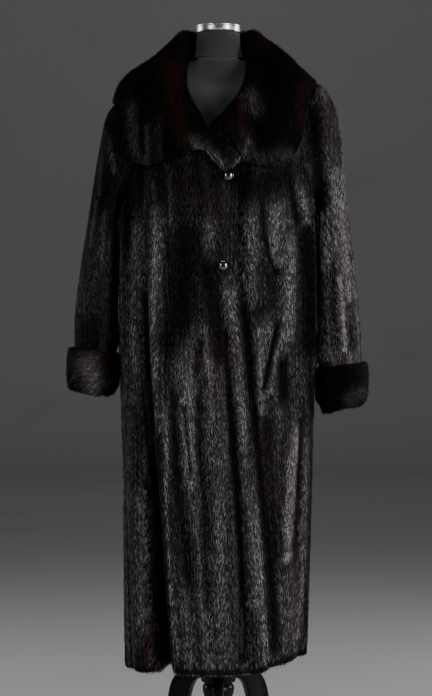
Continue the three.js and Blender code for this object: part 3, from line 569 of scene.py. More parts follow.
bodyCreases = [
    # Mostly valleys and hollows, darkened with painted shade
    fold([(-150, 1010), (-144, 910), (-137, 810), (-131, 730)], 6, -0.9, -5),
    fold([(-127, 710), (-125, 630), (-117, 530), (-112, 390), (-100, 275)], 12, -1),
    fold([(-93, 810), (-87, 690), (-79, 590), (-71, 510), (-63, 440)], 10, -0.6, -3),
    fold([(-69, 780), (-63, 710), (-57, 640)], 3, -0.8, -2),
    fold([(-41, 800), (-37, 690), (-29, 590), (-27, 470), (-23, 390)], 6, -0.5, -4),
    fold([(13, 930), (21, 790), (35, 630), (41, 530), (47, 430), (49, 280)], 7, -0.9, -5),
    fold([(49, 990), (65, 830), (81, 670), (92, 590), (104, 470), (115, 290)], 9, -0.9, -2),
    fold([(121, 945), (107, 890), (93, 820)], 4.5, -1.3, -7),
    fold([(128, 870), (132, 800)], 10, -0.9, -4),
    fold([(87, 1200), (93, 1120), (103, 1080), (118, 1055)], 7, -0.8, -4),
    fold([(95, 1065), (107, 1010), (87, 965)], 16, -0.4, -2),
    fold([(-27, 1065), (-13, 1020), (-5, 960), (5, 890)], 16, -0.8, -3),
    fold([(-65, 1120), (-73, 1010), (-91, 920)], 34, -0.8, -4),
    fold([(-77, 1255), (-69, 1090)], 32, -0.35),
    # Painted shadow under the collar, on both sides
    fold([(-170, 1240), (-50, 1235)], 75, -0.5),
    fold([(34, 1246), (68, 1216), (140, 1250)], 32, -0.8),
    fold([(141, 1243), (160, 1160)], 9, -0.8, -3),
    fold([(150, 1262), (170, 1215), (181, 1165)], 5, 0.6, 3),
    fold([(-187, 1240), (-188, 1110)], 9, -0.6, -2),
    fold([(-146, 770), (-135, 650)], 5, -0.5, -2),
    fold([(-35, 920), (-47, 850)], 6, -0.6, -3),
    fold([(19, 1225), (15, 1065)], 14, -0.25),
    fold([(99, 750), (103, 590), (111, 470)], 12, -0.45, -2),
    fold([(168, 750), (162, 590), (156, 470)], 6, -0.5, -3),
    # Painted shade in the gap between the body and the left sleeve
    fold([(190, 1000), (190, 770), (188, 470), (182, 310)], 6, -0.6),
    fold([(178, 1130), (182, 1060), (186, 900)], 17, -1.1),
    fold([(-137, 310), (-158, 250)], 18, -0.4, warm=0.7),
    # Ridges and streaks, lightened with painted sheen
    fold([(-133, 1235), (-127, 1180)], 3, 0.7, 2),
    fold([(-98, 1245), (-96, 1150)], 2.5, 0.6, 1),
    fold([(62, 1225), (63, 1185)], 5, 0.3, 2),
    fold([(107, 1230), (113, 1180)], 4, 0.5, 2),
    fold([(-127, 1180), (-123, 1120), (-125, 1050), (-129, 930)], 7, 0.9, 4),
    fold([(-129, 930), (-129, 850), (-125, 790), (-119, 725)], 6, 0.5, 4),
    fold([(-164, 1140), (-168, 1080), (-174, 1010), (-178, 930), (-182, 810)], 11, 0.5, 3),
    fold([(-109, 790), (-107, 690), (-105, 570), (-99, 470), (-85, 278)], 3.2, 0.8, 2),
    fold([(-71, 920), (-67, 840), (-69, 770), (-63, 700), (-59, 630)], 10, 0.9, 5),
    fold([(-59, 630), (-52, 530)], 7, 0.4, 3),
    fold([(-39, 940), (-31, 900), (-25, 845)], 8, 0.7, 3),
    fold([(-15, 830), (-11, 730), (-9, 630), (-7, 530), (-9, 390), (-11, 290)], 21, 0.3, 4),
    fold([(19, 1020), (25, 950), (33, 870), (39, 790), (49, 710)], 9, 0.75, 5),
    fold([(49, 710), (57, 620), (65, 520), (71, 390)], 11, 0.4, 4),
    fold([(77, 580), (85, 470), (92, 370), (98, 262)], 2.6, 1.3, 1),
    fold([(63, 1185), (64, 1110), (63, 1030), (57, 995)], 12, 0.5, 3),
    fold([(113, 1180), (113, 1120), (121, 1075)], 10, 0.85, 4),
    fold([(142, 1110), (144, 990), (138, 930)], 13, 0.55, 3),
    fold([(132, 945), (118, 890), (99, 815)], 8, 0.6, 4),
    fold([(89, 940), (81, 870), (83, 790)], 12, 0.6, 3),
    fold([(156, 730), (148, 650), (142, 570), (138, 473)], 5, 1.8, 6),
    fold([(176, 710), (176, 610), (174, 510), (170, 390), (162, 308)], 3.4, 0.9, 3, warm=0.5),
    fold([(120, 440), (135, 300)], 16, 0.25, 2),
    fold([(-19, 1147), (-21, 1115)], 8, 0.7, 2),
    fold([(-168, 590), (-164, 470), (-172, 310)], 14, 0.3, 3),
    fold([(-144, 1255), (-152, 1160)], 3, 0.5, 1),
    fold([(-203, 1260), (-206, 1080), (-204, 900)], 4, 0.5),
    fold([(-142, 710), (-146, 650)], 4, 0.5, 2),
    fold([(-65, 390), (-57, 278)], 12, 0.2, 2),
]
sleeveCreases = [
    # Painted shade over the sleeve on the side away from the key light
    fold([(-225, 1400), (-240, 1200)], 60, -1.0),
    fold([(-245, 1180), (-262, 900)], 40, -0.7),
    # Painted sheen over the sleeve that faces the key light
    fold([(235, 1260), (250, 1100), (258, 900)], 26, 0.5),
    fold([(224, 1400), (240, 1290)], 17, -0.5),
    # Painted highlight along that sleeve's lit edge
    fold([(250, 1200), (262, 1080), (272, 960)], 4, 1.3, warm=0.4),
    fold([(-222, 1330), (-214, 1262)], 3, 2.2, 2),
    fold([(-238, 1290), (-244, 1215)], 3, 1.7, 1),
    fold([(-250, 1200), (-262, 1110)], 3, 1.7, 1),
    fold([(-233, 1180), (-243, 1060)], 3.5, 1.5, 2),
    fold([(-218, 1170), (-216, 1055), (-220, 900)], 10, -0.8, -2),
    fold([(-232, 1190), (-236, 1130)], 18, -0.7, -3),
    fold([(-232, 1343), (-217, 1280)], 10, 0.5, 2),
    fold([(-248, 1116), (-258, 1045), (-268, 985)], 14, 0.8, 3),
    fold([(-268, 950), (-260, 910)], 18, -0.6, -2),
    fold([(213, 1425), (230, 1364), (238, 1292)], 5, 0.9, 3, warm=0.5),
    fold([(195, 1384), (201, 1281), (209, 1199)], 14, -0.9, -3),
    fold([(213, 1168), (217, 1106), (221, 1071)], 12, 0.9, 3),
    fold([(250, 1180), (258, 1055), (270, 930)], 7, 0.5, 1, warm=0.6),
    fold([(246, 1045), (252, 972), (256, 900)], 4, 1.3, 4),
    fold([(270, 993), (275, 900)], 8, -0.6, -3),
    fold([(212, 1055), (213, 890)], 8, 0.35, 1),
    fold([(230, 1071), (232, 993), (236, 900)], 6, -0.4, -3),
]
collarCreases = [
    fold([(-138, 1415), (-118, 1354), (-102, 1278)], 40, -0.35),
    fold([(-173, 1395), (-165, 1314), (-153, 1274)], 8, 0.5, 2),
    fold([(-142, 1344), (-140, 1274)], 7, 0.6, 2),
    fold([(-120, 1359), (-118, 1278)], 6, 0.45, 1),
    fold([(-155, 1370), (-153, 1294)], 4.5, -0.5, -3),
    fold([(-96, 1375), (-94, 1284)], 8, -0.5, -2),
    fold([(-90, 1470), (-88, 1400), (-75, 1330)], 16, -0.2, warm=1),
    fold([(-46, 1308), (-20, 1292), (4, 1272)], 2.6, 1.5),
    fold([(62, 1322), (50, 1290), (30, 1266)], 2.6, 1.2),
    fold([(-52, 1318), (-25, 1294), (7, 1266)], 9, 0.6),
    fold([(43, 1294), (88, 1278), (134, 1290)], 12, 0.35, 1),
    fold([(64, 1405), (76, 1380)], 12, 0.6, 2),
    fold([(100, 1476), (108, 1395), (88, 1334)], 36, -0.6, -2),
    fold([(54, 1334), (64, 1294)], 8, 0.4, 1),
    fold([(40, 1400), (48, 1340)], 10, 0, warm=0.9),
    fold([(134, 1354), (149, 1314)], 12, -0.3),
    fold([(165, 1430), (170, 1350)], 10, -0.1, warm=0.8),
]
cuffCreases = [
    fold([(-262, 862), (-246, 822)], 17, 0.62, 2),
    fold([(-222, 890), (-228, 808)], 12, -0.5, -2),
    fold([(230, 872), (270, 868)], 14, -0.2, warm=1),
    fold([(262, 790), (285, 805)], 9, 0.3, 1),
    fold([(240, 840), (262, 850)], 20, -0.3, -1),
]
creases = {"body": bodyCreases, "sleeve": sleeveCreases, "collar": collarCreases, "cuff": cuffCreases}


# The same round the sides and back: turn and half width in degrees, top and foot in metres
def backFold(turn, top, foot, wide, tone, deep):
    return {**fold([], wide, tone, deep), "turn": turn, "top": top, "foot": foot}


backCreases = [
    backFold(104, 1.0, 0.25, 3, 0.6, 4),
    backFold(122, 0.9, 0.25, 3, -0.9, -4),
    backFold(131, 1.3, 0.6, 2, 0.6, 3),
    backFold(141, 0.8, 0.3, 3, 0.4, 3),
    backFold(150, 1.35, 0.9, 4, -0.5, -3),
    backFold(157, 1.0, 0.25, 2.6, -0.9, -4),
    backFold(166, 1.2, 0.5, 2.4, 0.7, 4),
    backFold(176, 1.4, 1.0, 5, 0.4, 2),
    backFold(184, 0.9, 0.3, 2, 0.5, 3),
    backFold(194, 1.05, 0.25, 3, -0.8, -4),
    backFold(203, 1.3, 0.7, 2.4, 0.5, 4),
    backFold(213, 1.2, 0.9, 5, -0.5, -2),
    backFold(221, 0.85, 0.3, 3, 0.6, 4),
    backFold(230, 0.95, 0.25, 3, -0.9, -4),
    backFold(243, 1.2, 0.5, 3, 0.5, 3),
    backFold(256, 0.8, 0.3, 2.5, -0.5, -3),
    backFold(268, 0.9, 0.4, 3, 0.5, 3),
]
creaseShape = {
    "litSpread": 1.75,
    "litShare": {"body": 0.68, "sleeve": 0.68, "collar": 0.8, "cuff": 0.9},
    "frontFrom": 0.05, "frontOver": 0.3, "fade": 0.08, "wave": 3.0, "waveScale": 7,
}
# Soft waves round the hidden sides of the sleeves, cuffs and collar, raised on their crests, with painted
# sheen there and painted shade in their troughs
ripple = {"tone": 0.3, "deep": 0.002, "turns": 3, "rise": 6, "crossTurns": 2, "crossRise": 11}


def kindOf(name):
    return "body" if name.startswith("coat") else name.split("_")[0]


# How near each point is to a crease's path: 1 on it, fading over its half width
def nearPath(points, crease):
    best = np.full(len(points), np.inf)
    path = np.array(crease["path"], float)
    for start, end in zip(path[:-1], path[1:]):
        way = end - start
        share = np.clip((points - start) @ way / (way @ way), 0, 1)
        best = np.minimum(best, np.linalg.norm(points - start - share[:, None] * way, axis=1))
    wide = crease["wide"] * (creaseShape["litSpread"] if crease["tone"] > 0 else 1)
    return np.exp(-((best / wide) ** 2))


# Where creases meet, the lightest and the darkest count, so that none adds up
def addCrease(marks, share, crease, litShare):
    marks["lit"] = np.maximum(marks["lit"], share * crease["tone"] * litShare)
    marks["dark"] = np.minimum(marks["dark"], share * crease["tone"])
    marks["raised"] = np.maximum(marks["raised"], share * crease["deep"] * millimetre)
    marks["sunk"] = np.minimum(marks["sunk"], share * crease["deep"] * millimetre)
    marks["warm"] = np.maximum(marks["warm"], share * crease["warm"])


# What all the creases give at each place: painted sheen, painted shade, raised, sunk and warm
def readCreases(name, places, normals):
    marks = {mark: np.zeros(len(places)) for mark in ("lit", "dark", "raised", "sunk", "warm")}
    kind = kindOf(name)
    front = ramp(-normals[:, 1], creaseShape["frontFrom"], creaseShape["frontOver"])
    points = places[:, [0, 2]] / millimetre
    for crease in creases[kind]:
        addCrease(marks, nearPath(points, crease) * front, crease, creaseShape["litShare"][kind])
    turn = turnAround(places, middleOf(name, places))
    height = places[:, 2]
    if kind == "body":
        turn = turn - twistAt(height)
        for crease in backCreases:
            wander = creaseShape["wave"] * np.sin(height * creaseShape["waveScale"] + crease["turn"])
            off = (turn - crease["turn"] + wander + 180) % 360 - 180
            share = np.exp(-((off / crease["wide"]) ** 2)) * (1 - front)
            share *= np.clip((crease["top"] - height) / creaseShape["fade"], 0, 1)
            share *= np.clip((height - crease["foot"]) / creaseShape["fade"] + 1, 0, 1)
            addCrease(marks, share, crease, 1)
    else:
        around = np.radians(turn)
        wave = np.sin(around * ripple["turns"] + height * ripple["rise"]) * (1 - front)
        wave *= np.sin(around * ripple["crossTurns"] + height * ripple["crossRise"])
        marks["lit"] += ripple["tone"] * np.maximum(wave, 0)
        marks["dark"] += ripple["tone"] * np.minimum(wave, 0)
        marks["raised"] += ripple["deep"] * wave
    return marks


# Below the last button the pelts swing round a little, by so many degrees at the hem
twist = {"top": 1.03, "hem": 0.241, "turn": 17, "ease": 1.1}


def twistAt(heights):
    share = np.clip((twist["top"] - heights) / (twist["top"] - twist["hem"]), 0, 1)
    return twist["turn"] * share ** twist["ease"]


# Degrees round a piece's middle, from 0 at the front
def turnAround(places, middle):
    return np.degrees(np.arctan2(places[:, 0] - middle[:, 0], middle[:, 1] - places[:, 1]))


# Painted sheen on the hair, from 0 to 1: a level for each kind, its streaks, and more on the skirt, and how
# strongly dark creases paint shade
paintedSheen = {
    "base": {"body": 0.32, "sleeve": 0.32, "collar": 0.09, "cuff": 0.11},
    "streak": {"body": 0.13, "sleeve": 0.11, "collar": 0.03, "cuff": 0.05}, "shade": 1.7,
    "skirtHeight": 0.95, "skirtOver": 0.2, "skirtMore": 0.02,
}
# Waves that make the streaks. Each runs round the piece and up it, and sways with the height.
streakWaves = {
    "broad": {"around": 1.26, "sway": 2.5, "swayRise": 4},
    "broadCross": {"around": 0.83, "sway": 2.0, "swayRise": 6, "swayStart": 2},
    "fine": {"around": 2.9, "sway": 2.0, "swayRise": 7, "swayTurn": 0.05},
    "fineCross": {"around": 0.3, "rise": 11},
}
streakShape = {"fineShare": 0.7, "most": 1.4, "armScale": 0.35}


def streakWave(turn, height, scale, around, rise=0, sway=0, swayRise=0, swayTurn=0, swayStart=0):
    swing = sway * np.sin(height * swayRise + turn * swayTurn + swayStart)
    return np.sin(turn * around * scale + height * rise + swing)


# Long soft streaks of painted sheen and painted shade that run down the pelts
def sheenStreakAt(name, places):
    turn, height = turnAround(places, middleOf(name, places)), places[:, 2]
    scale = streakShape["armScale"]
    if kindOf(name) == "body":
        turn = turn - twistAt(height)
        scale = 1
    waves = {key: streakWave(turn, height, scale, **wave) for key, wave in streakWaves.items()}
    fine = waves["fine"] * waves["fineCross"] * streakShape["fineShare"]
    return np.clip(waves["broad"] * waves["broadCross"] + fine, -streakShape["most"], streakShape["most"])


# How much painted sheen the hair has at each place, dimmed by painted shade in dark creases, with a factor
# and a gain for each lock's unevenness
def sheenAndShadeAt(name, places, marks, uneven=1, sparks=0):
    kind = kindOf(name)
    base = paintedSheen["base"][kind] + paintedSheen["streak"][kind] * sheenStreakAt(name, places)
    if kind == "body":
        skirt = ramp(-places[:, 2], -paintedSheen["skirtHeight"], paintedSheen["skirtOver"])
        base += paintedSheen["skirtMore"] * skirt
    shade = np.exp(paintedSheen["shade"] * marks["dark"])
    return np.clip(((base + marks["lit"]) * uneven + sparks) * shade, 0, 1)


# Places on the skins that are pulled: where they are seen from the front, how far round them the pull
# reaches, and its way, all in mm
def pull(pieces, place, reach, move):
    return {"pieces": pieces, "place": place, "reach": reach, "move": move}


pulls = [
    pull(["collar"], (-226, 1386), 34, (11, 0, 5)),
    pull(["collar"], (190, 1444), 30, (6, 0, -5)),
    pull(["collar"], (4, 1350), 24, (-17, 4, -10)),
    pull(["sleeve_left"], (196, 1430), 22, (2, 0, 8)),
    pull(["sleeve_right"], (-214, 1362), 42, (-8, 0, 4)),
    pull(["coat_back", "coat_front_right"], (-188, 258), 22, (0, 0, -11)),
    pull(["coat_front_right"], (-103, 252), 11, (0, 6, 12)),
    pull(["coat_back", "coat_front_left"], (197, 875), 32, (3, 0, 0)),
    pull(["coat_back", "coat_front_right"], (-199, 890), 32, (-3, 0, 0)),
    pull(["sleeve_left"], (204, 880), 28, (-11, 0, 0)),
    pull(["sleeve_right"], (-204, 905), 28, (7, 0, 0)),
    pull(["cuff_right"], (-218, 792), 20, (-7, 0, 10)),
    pull(["cuff_left"], (201, 758), 20, (9, 0, 11)),
    pull(["cuff_left"], (290, 797), 32, (0, 0, -13)),
]


def movePulled(nodeName, places):
    for part in pulls:
        if nodeName in part["pieces"]:
            far = np.linalg.norm(places[:, [0, 2]] / millimetre - part["place"], axis=1)
            share = np.exp(-((far / part["reach"]) ** 2))
            places += share[:, None] * np.array(part["move"]) * millimetre


# A skin: the solid's form made finer, with its creases, its lining and the painted sheen and shade of its
# fur
def makeSkin(nodeName):
    obj = copyNode(nodeName, "skin_" + nodeName, [underFur, lining])
    subdivide(obj, skinShape["levels"], skinShape["rimCrease"][kindOf(nodeName)])
    mesh = obj.data
    places, normals, _ = readMesh(mesh)
    outward = facingOut(nodeName, places, normals)
    share = np.ones(len(places))
    if nodeName.startswith(("coat", "sleeve")):
        share = ramp(outward, skinShape["moveFrom"], skinShape["moveOver"])
        centres = np.array([polygon.center[:] for polygon in mesh.polygons])
        ways = np.array([polygon.normal[:] for polygon in mesh.polygons])
        isLining = facingOut(nodeName, centres, ways) < skinShape["liningBelow"]
        mesh.polygons.foreach_set("material_index", isLining.astype(np.int32))
    marks = readCreases(nodeName, places, normals)
    aside = ramp(np.abs(normals[:, 0]), skinShape["sideFrom"], 1 - skinShape["sideFrom"])
    inset = skinShape["inset"] + (skinShape["sideInset"] - skinShape["inset"]) * aside
    places += normals * ((marks["raised"] + marks["sunk"] - inset) * share)[:, None]
    movePulled(nodeName, places)
    mesh.vertices.foreach_set("co", places.astype(np.float32).ravel())
    mesh.update()
    outward = facingOut(nodeName, places, normals)
    tone = np.ones((len(places), 4), np.float32)
    tone[:, 0] = skinShape["along"]
    tone[:, 1] = skinShape["chance"]
    # Painted sheen and shade on the skin, only where its faces look out
    seen = ramp(outward, skinShape["toneFrom"], skinShape["toneOver"])
    tone[:, 2] = sheenAndShadeAt(nodeName, places, marks) * seen
    tone[:, 3] = marks["warm"]
    mesh.attributes.new("furTone", "FLOAT_COLOR", "POINT").data.foreach_set("color", tone.ravel())
    finishPiece(obj, "fur", nodeName)
    return obj


skinObjects = {name: makeSkin(name) for name in skins}
print("skins")


# Hair. Every strand is one bent blade of two triangles that lies along the nap.
fur = {
    "coat_front_right": {"count": 74000, "length": 0.0120, "width": 0.0009, "seed": 11},
    "coat_front_left": {"count": 64000, "length": 0.0120, "width": 0.0009, "seed": 12},
    "coat_back": {"count": 80000, "length": 0.0130, "width": 0.0010, "seed": 13},
    "sleeve_right": {"count": 36000, "length": 0.0125, "width": 0.0009, "seed": 14},
    "sleeve_left": {"count": 36000, "length": 0.0125, "width": 0.0009, "seed": 15},
    "cuff_right": {"count": 12000, "length": 0.0145, "width": 0.0011, "seed": 16},
    "cuff_left": {"count": 12000, "length": 0.0145, "width": 0.0011, "seed": 17},
    "collar": {"count": 60000, "length": 0.0170, "width": 0.0011, "seed": 18},
}
# Angles are in degrees. The lift is of the root's half, the tip's lift of the rest.
strand = {
    "lift": 13, "liftSpread": 2.2, "lockLift": 1.8, "ruffle": 8, "ruffleFrom": -0.3,
    "guardShare": {"body": 0.015, "sleeve": 0.02, "collar": 0.09, "cuff": 0.1},
    "guardLift": 20, "tipLift": 1, "tipSpread": 3, "bendAt": 0.45, "roll": 26, "stray": 5,
    "sunk": 0.001, "reach": 0.006, "least": 0.25, "lengthLow": 0.75, "lengthHigh": 1.15,
    "alongBend": 0.55,
}
# Hair grows out of a face that looks out at least so far, with no other piece closer than these
ground = {"outFrom": -0.25, "cover": 0.012, "touch": 0.0008}
# Hairs stick together in locks that follow the lean: their size in metres and how uneven their light is
locks = {
    "width": 0.0022, "length": 0.010, "low": 0.6, "high": 1.3,
    "spark": {"body": 0.12, "sleeve": 0.12, "collar": 0.05, "cuff": 0.1}, "sparkCurve": 3,
}
# What scatters a lock's row and place to a chance number
scatter = {"halfStep": 17, "row": 12.99, "rowGain": 437.6, "along": 78.23, "gain": 4375.9}
# Strips of pelt sewn side by side, with the hair leaning to the middle of each. Width in metres.
strips = {
    "body": {"count": 26, "slant": -13, "shift": 0.35, "width": 0.042},
    "sleeve": {"count": 8, "slant": -13, "shift": 0.2, "width": 0.05},
    "cuff": {"count": 7, "slant": -12, "shift": 0.4, "width": 0.05},
    "collar": {"count": 22, "slant": -14, "shift": 0.5, "width": 0.06},
}
# The lie of each kind's hair: down, and how far away from the middle, round it or aside
lie = {
    "shoulderHeight": 1.40, "shoulderOver": 0.06, "away": 0.6, "sleeveAside": 0.12,
    "cuffAround": 0.9, "cuffDown": 0.45, "collarAway": 0.75, "collarDown": 0.8,
    "seamSway": 0.12, "seamRise": 9, "seamTurn": 0.11,
}


# Which way the hair lies, how far each point is across its strip, from -0.5 to 0.5, and the hair's lean
def napOf(name, places, normals):
    kind = kindOf(name)
    middle = middleOf(name, places)
    turn = turnAround(places, middle)
    away = unit((places - middle) * [1, 1, 0])
    down = np.zeros_like(places)
    down[:, 2] = -1
    if kind == "body":
        turn = turn - twistAt(places[:, 2])
        down += away * lie["away"] * ramp(places[:, 2:3], lie["shoulderHeight"], lie["shoulderOver"])
    elif kind == "sleeve":
        down[:, 0] = sideOf(name) * lie["sleeveAside"]
    elif kind == "cuff":
        around = np.stack([-away[:, 1], away[:, 0], np.zeros(len(away))], axis=1)
        down = around * sideOf(name) * lie["cuffAround"] + down * lie["cuffDown"]
    else:
        down = down * lie["collarDown"] + away * lie["collarAway"]
    strip = strips[kind]
    sway = lie["seamSway"] * np.sin(places[:, 2] * lie["seamRise"] + turn * lie["seamTurn"])
    across = turn * strip["count"] / 360 + strip["shift"] + sway
    across = across - np.floor(across) - 0.5
    nap = unit(down - normals * np.einsum("ij,ij->i", down, normals)[:, None])
    return nap, across, math.radians(strip["slant"])


# A chance number from 0 to 1 that all the hairs of one lock share
def lockOf(name, places, across, seed):
    strip = strips[kindOf(name)]
    aside = np.abs(across) * strip["width"] + places[:, 2] * math.tan(math.radians(strip["slant"]))
    row = np.floor(aside / locks["width"]) + np.floor(across * 2) * scatter["halfStep"] + seed
    offset = np.modf(np.abs(np.sin(row * scatter["row"]) * scatter["rowGain"]))[0]
    along = np.floor(places[:, 2] / locks["length"] + offset)
    return np.modf(np.abs(np.sin(row * scatter["row"] + along * scatter["along"]) * scatter["gain"]))[0]


# One tree of all the skins, and which of its triangles are the collar's and the cuffs'
def coverTree():
    vertices, faces, lids = [], [], []
    for name, obj in skinObjects.items():
        places, _, corners = readMesh(obj.data)
        faces.append(corners + sum(len(v) for v in vertices))
        vertices.append(places)
        lids.append(np.full(len(corners), kindOf(name) in folded))
    tree = BVHTree.FromPolygons(np.concatenate(vertices).tolist(), np.concatenate(faces).tolist())
    return tree, np.concatenate(lids)


# The share of each triangle that hair grows on: none where the collar or a cuff lies on it, or at a seam
def growth(name, centres, ways, tree, lids):
    grows = np.ones(len(centres))
    if kindOf(name) in ("body", "sleeve"):
        grows[facingOut(name, centres, ways) < ground["outFrom"]] = 0
    for i in np.nonzero(grows)[0]:
        start = Vector(centres[i]) + Vector(ways[i]) * strand["sunk"] / 2
        place, _, index, far = tree.ray_cast(start, Vector(ways[i]), ground["cover"])
        if place is not None and (lids[index] or far < ground["touch"]):
            grows[i] = 0
    return grows


# Roots spread evenly over the triangles that grow hair, with the normals there and a tree of the skin
def plantHair(name, count, chance, tree, lids):
    places, normals, corners = readMesh(skinObjects[name].data)
    a, b, c = (places[corners[:, k]] for k in range(3))
    cross = np.cross(b - a, c - a)
    size = np.linalg.norm(cross, axis=1)
    grows = growth(name, (a + b + c) / 3, cross / np.maximum(size, 1e-12)[:, None], tree, lids)
    total = np.cumsum(size * grows)
    pick = np.searchsorted(total, (np.arange(count) + chance.random(count)) / count * total[-1])
    pick = np.minimum(pick, len(corners) - 1)
    u, v = chance.random(count), chance.random(count)
    over = u + v > 1
    u[over], v[over] = 1 - u[over], 1 - v[over]
    shares = np.stack([1 - u - v, u, v], axis=1)[:, :, None]
    root = (places[corners[pick]] * shares).sum(axis=1)
    normal = unit((normals[corners[pick]] * shares).sum(axis=1))
    return root, normal, BVHTree.FromPolygons(places.tolist(), corners.tolist())


# The way of a hair's half, lifted off the skin by an angle in degrees
def liftedBy(angle, flat, normal):
    lift = np.radians(angle)[:, None]
    return flat * np.cos(lift) + normal * np.sin(lift)


# The four corners of each hair: its start, both sides of its bend, and its tip
def combHair(kind, settings, chance, root, normal, nap, lean, ruffled, lock, ownTree):
    count = settings["count"]
    side = np.cross(normal, nap)
    angle = lean + np.radians(chance.normal(0, strand["stray"], count))
    flat = unit(nap * np.cos(angle)[:, None] + side * np.sin(angle)[:, None])
    side = np.cross(normal, flat)
    length = settings["length"] * chance.uniform(strand["lengthLow"], strand["lengthHigh"], count)
    lift = chance.normal(strand["lift"], strand["liftSpread"], count) + strand["ruffle"] * ruffled
    isGuard = chance.random(count) < strand["guardShare"][kind]
    lift += strand["lockLift"] * (2 * lock - 1) + strand["guardLift"] * isGuard
    tipLift = chance.normal(strand["tipLift"], strand["tipSpread"], count)
    first = liftedBy(lift, flat, normal) * strand["bendAt"]
    second = liftedBy(tipLift, flat, normal) * (1 - strand["bendAt"])
    start = root - normal * strand["sunk"]
    tip = start + (first + second) * length[:, None]
    far = np.array([ownTree.find_nearest(Vector(point))[3] for point in tip])
    length = length * np.clip(strand["reach"] / np.maximum(far, 1e-6), strand["least"], 1)
    bend = start + first * length[:, None]
    tip = bend + second * length[:, None]
    roll = np.radians(chance.normal(0, strand["roll"], count))[:, None]
    wide = (side * np.cos(roll) + normal * np.sin(roll)) * settings["width"] / 2
    return np.stack([start, bend - wide, bend + wide, tip], axis=1).reshape(-1, 3)


# Two triangles a hair, that meet at its bend
def meshHair(name, vertices):
    base = np.arange(0, len(vertices), 4)[:, None]
    triangles = np.concatenate([base + [0, 1, 2], base + [1, 3, 2]], axis=1).reshape(-1, 3)
    mesh = bpy.data.meshes.new(name)
    mesh.vertices.add(len(vertices))
    mesh.vertices.foreach_set("co", vertices.astype(np.float32).ravel())
    mesh.loops.add(triangles.size)
    mesh.loops.foreach_set("vertex_index", triangles.astype(np.int32).ravel())
    mesh.polygons.add(len(triangles))
    mesh.polygons.foreach_set("loop_start", np.arange(0, triangles.size, 3, dtype=np.int32))
    mesh.polygons.foreach_set("use_smooth", np.ones(len(triangles), dtype=bool))
    mesh.update(calc_edges=True)
    return mesh


def growFur(name, tree, lids):
    settings = fur[name]
    kind = kindOf(name)
    count = settings["count"]
    chance = np.random.default_rng(settings["seed"])
    root, normal, ownTree = plantHair(name, count, chance, tree, lids)
    nap, across, slant = napOf(name, root, normal)
    marks = readCreases(name, root, normal)
    lock = lockOf(name, root, across, settings["seed"])
    lean = slant * np.sin(across * 2 * math.pi)
    ruffled = np.clip(-(marks["lit"] + marks["dark"]), strand["ruffleFrom"], 1)
    vertices = combHair(kind, settings, chance, root, normal, nap, lean, ruffled, lock, ownTree)
    mesh = meshHair("fur_" + name, vertices)
    # Each hair's painted sheen and shade, uneven by lock, with painted glints on the brightest locks
    uneven = locks["low"] + (locks["high"] - locks["low"]) * lock
    sparks = locks["spark"][kind] * lock ** locks["sparkCurve"]
    tone = np.ones((count, 4, 4), np.float32)
    tone[:, :, 0] = [0, strand["alongBend"], strand["alongBend"], 1]
    tone[:, :, 1] = chance.random(count)[:, None]
    tone[:, :, 2] = sheenAndShadeAt(name, root, marks, uneven, sparks)[:, None]
    tone[:, :, 3] = marks["warm"][:, None]
    mesh.attributes.new("furTone", "FLOAT_COLOR", "POINT").data.foreach_set("color", tone.ravel())
    mesh.materials.append(collarFur if kind in folded else bodyFur)
    obj = addObject("fur_" + name, mesh)
    finishPiece(obj, "fur")
    return obj


allSkins, lids = coverTree()
for name, piece in skins.items():
    hair = growFur(name, allSkins, lids)
    print("hair on", name)


# Dress form: padded body and neck under jersey, with a doubled seam at the neck
form = {"levels": 2, "rimCrease": 1.0, "rimAngle": 55}
seam = {
    "radius": 0.0553, "taper": 0.0012, "height": 1.4916, "thick": 0.0011, "apart": 0.0026,
    "steps": 72, "sides": 8,
}


def makeForm():
    for nodeName, name in (("form_torso", "jersey_body"), ("form_neck", "jersey_neck")):
        obj = copyNode(nodeName, name, [jersey])
        subdivide(obj, form["levels"], form["rimCrease"], form["rimAngle"])
        finishPiece(obj, "jersey", nodeName)
    for k, side in enumerate((-1, 1)):
        bpy.ops.object.select_all(action="DESELECT")
        bpy.ops.mesh.primitive_torus_add(
            location=(0, axisY, seam["height"] + side * seam["apart"]),
            major_radius=seam["radius"] - seam["taper"] * k,
            minor_radius=seam["thick"],
            major_segments=seam["steps"],
            minor_segments=seam["sides"],
        )
        obj = bpy.context.object
        obj.name = "neck_seam_%d" % (k + 1)
        bpy.ops.object.transform_apply(location=True, rotation=True, scale=True)
        bpy.ops.object.shade_smooth()
        obj.data.materials.append(jersey)
        finishPiece(obj, "jersey")


# Neck cap: a spun chrome band with rolled rims under a low top. Profiles are of (radius, height).
cap = {
    "steps": 96,
    "profile": [
        (0.0, 0.0), (0.0450, 0.0), (0.0468, 0.0006), (0.0476, 0.0018), (0.0474, 0.0032), (0.0464, 0.0040),
        (0.0464, 0.0118), (0.0472, 0.0126), (0.0477, 0.0140), (0.0473, 0.0153), (0.0458, 0.0162),
        (0.0430, 0.0166), (0.0300, 0.0172), (0.0120, 0.0174), (0.0, 0.0174),
    ],
    "foot": 1.547,
}
# Hub: a turned ball with a band above it, in which the pole stands
hub = {
    "steps": 72,
    "profile": [
        (0.0, 0.154), (0.008, 0.1546), (0.0165, 0.1575), (0.0245, 0.163), (0.0298, 0.1715), (0.0322, 0.180),
        (0.0330, 0.187), (0.0322, 0.1925), (0.0295, 0.1965), (0.0282, 0.1985), (0.0290, 0.2003),
        (0.0345, 0.2015), (0.036, 0.2045), (0.036, 0.2375), (0.0348, 0.2402), (0.0310, 0.2425),
        (0.0300, 0.2465), (0.0285, 0.2495), (0.0240, 0.252), (0.0, 0.252),
    ],
}


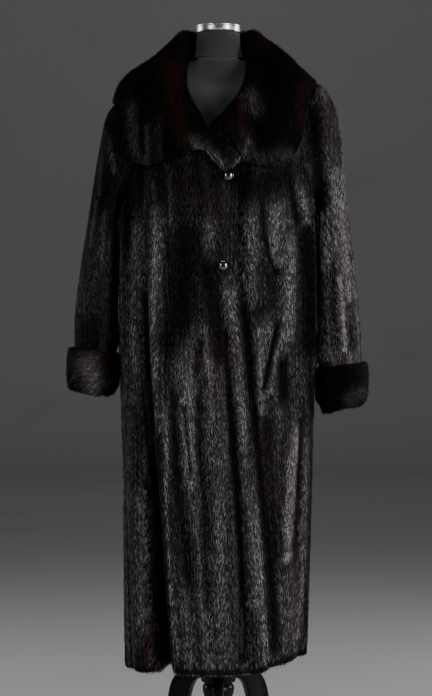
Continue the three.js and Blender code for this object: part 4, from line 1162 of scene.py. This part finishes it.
def spinPiece(name, settings, foot, material, slotName, nodeName):
    mesh = bpy.data.meshes.new(name)
    work = bmesh.new()
    line = [work.verts.new((r, axisY, foot + z)) for r, z in settings["profile"]]
    for i in range(len(line) - 1):
        work.edges.new((line[i], line[i + 1]))
    work.to_mesh(mesh)
    work.free()
    obj = addObject(name, mesh)
    editAll(obj)
    bpy.ops.mesh.spin(
        steps=settings["steps"], angle=2 * math.pi, center=(0, axisY, 0), axis=(0, 0, 1), use_auto_merge=True
    )
    bpy.ops.mesh.select_all(action="SELECT")
    bpy.ops.mesh.remove_doubles(threshold=mergeWithin)
    bpy.ops.mesh.normals_make_consistent(inside=False)
    bpy.ops.object.mode_set(mode="OBJECT")
    bpy.ops.object.shade_smooth_by_angle(angle=smoothAngle)
    mesh.materials.append(material)
    finishPiece(obj, slotName, nodeName)


makeForm()
spinPiece("chrome_cap", cap, cap["foot"], chrome, "chrome", "neck_cap")
spinPiece("turned_hub", hub, 0.0, blackPaint, "black_paint", "stand_hub")
print("form and cap")


# Stand: the sawn legs get eased edges, the pole keeps its solid
leg = {"ease": 0.0035, "segments": 3, "flatWithin": math.radians(1), "sharpFrom": math.radians(50)}


def makeLegs():
    for nodeName in ("leg_front", "leg_left", "leg_right"):
        obj = copyNode(nodeName, "sawn_" + nodeName, [blackPaint])
        editAll(obj)
        bpy.ops.mesh.dissolve_limited(angle_limit=leg["flatWithin"])
        bpy.ops.object.mode_set(mode="OBJECT")
        bevel = obj.modifiers.new("ease", "BEVEL")
        bevel.width = leg["ease"]
        bevel.segments = leg["segments"]
        bevel.limit_method = "ANGLE"
        bevel.angle_limit = leg["sharpFrom"]
        bpy.ops.object.modifier_apply(modifier=bevel.name)
        bpy.ops.object.shade_smooth_by_angle(angle=smoothAngle)
        finishPiece(obj, "black_paint", nodeName)
    pole = nodes["stand_pole"]
    pole.data.materials.clear()
    pole.data.materials.append(blackPaint)


# Buttons: domed, with a low rim
button = {"levels": 2, "rimCrease": 0.6, "rimAngle": 50}


def makeButtons():
    for nodeName in ("button_top", "button_bottom"):
        obj = copyNode(nodeName, "domed_" + nodeName, [buttonGloss])
        subdivide(obj, button["levels"], button["rimCrease"], button["rimAngle"])
        finishPiece(obj, "button", nodeName)


makeLegs()
makeButtons()
print("stand and buttons")
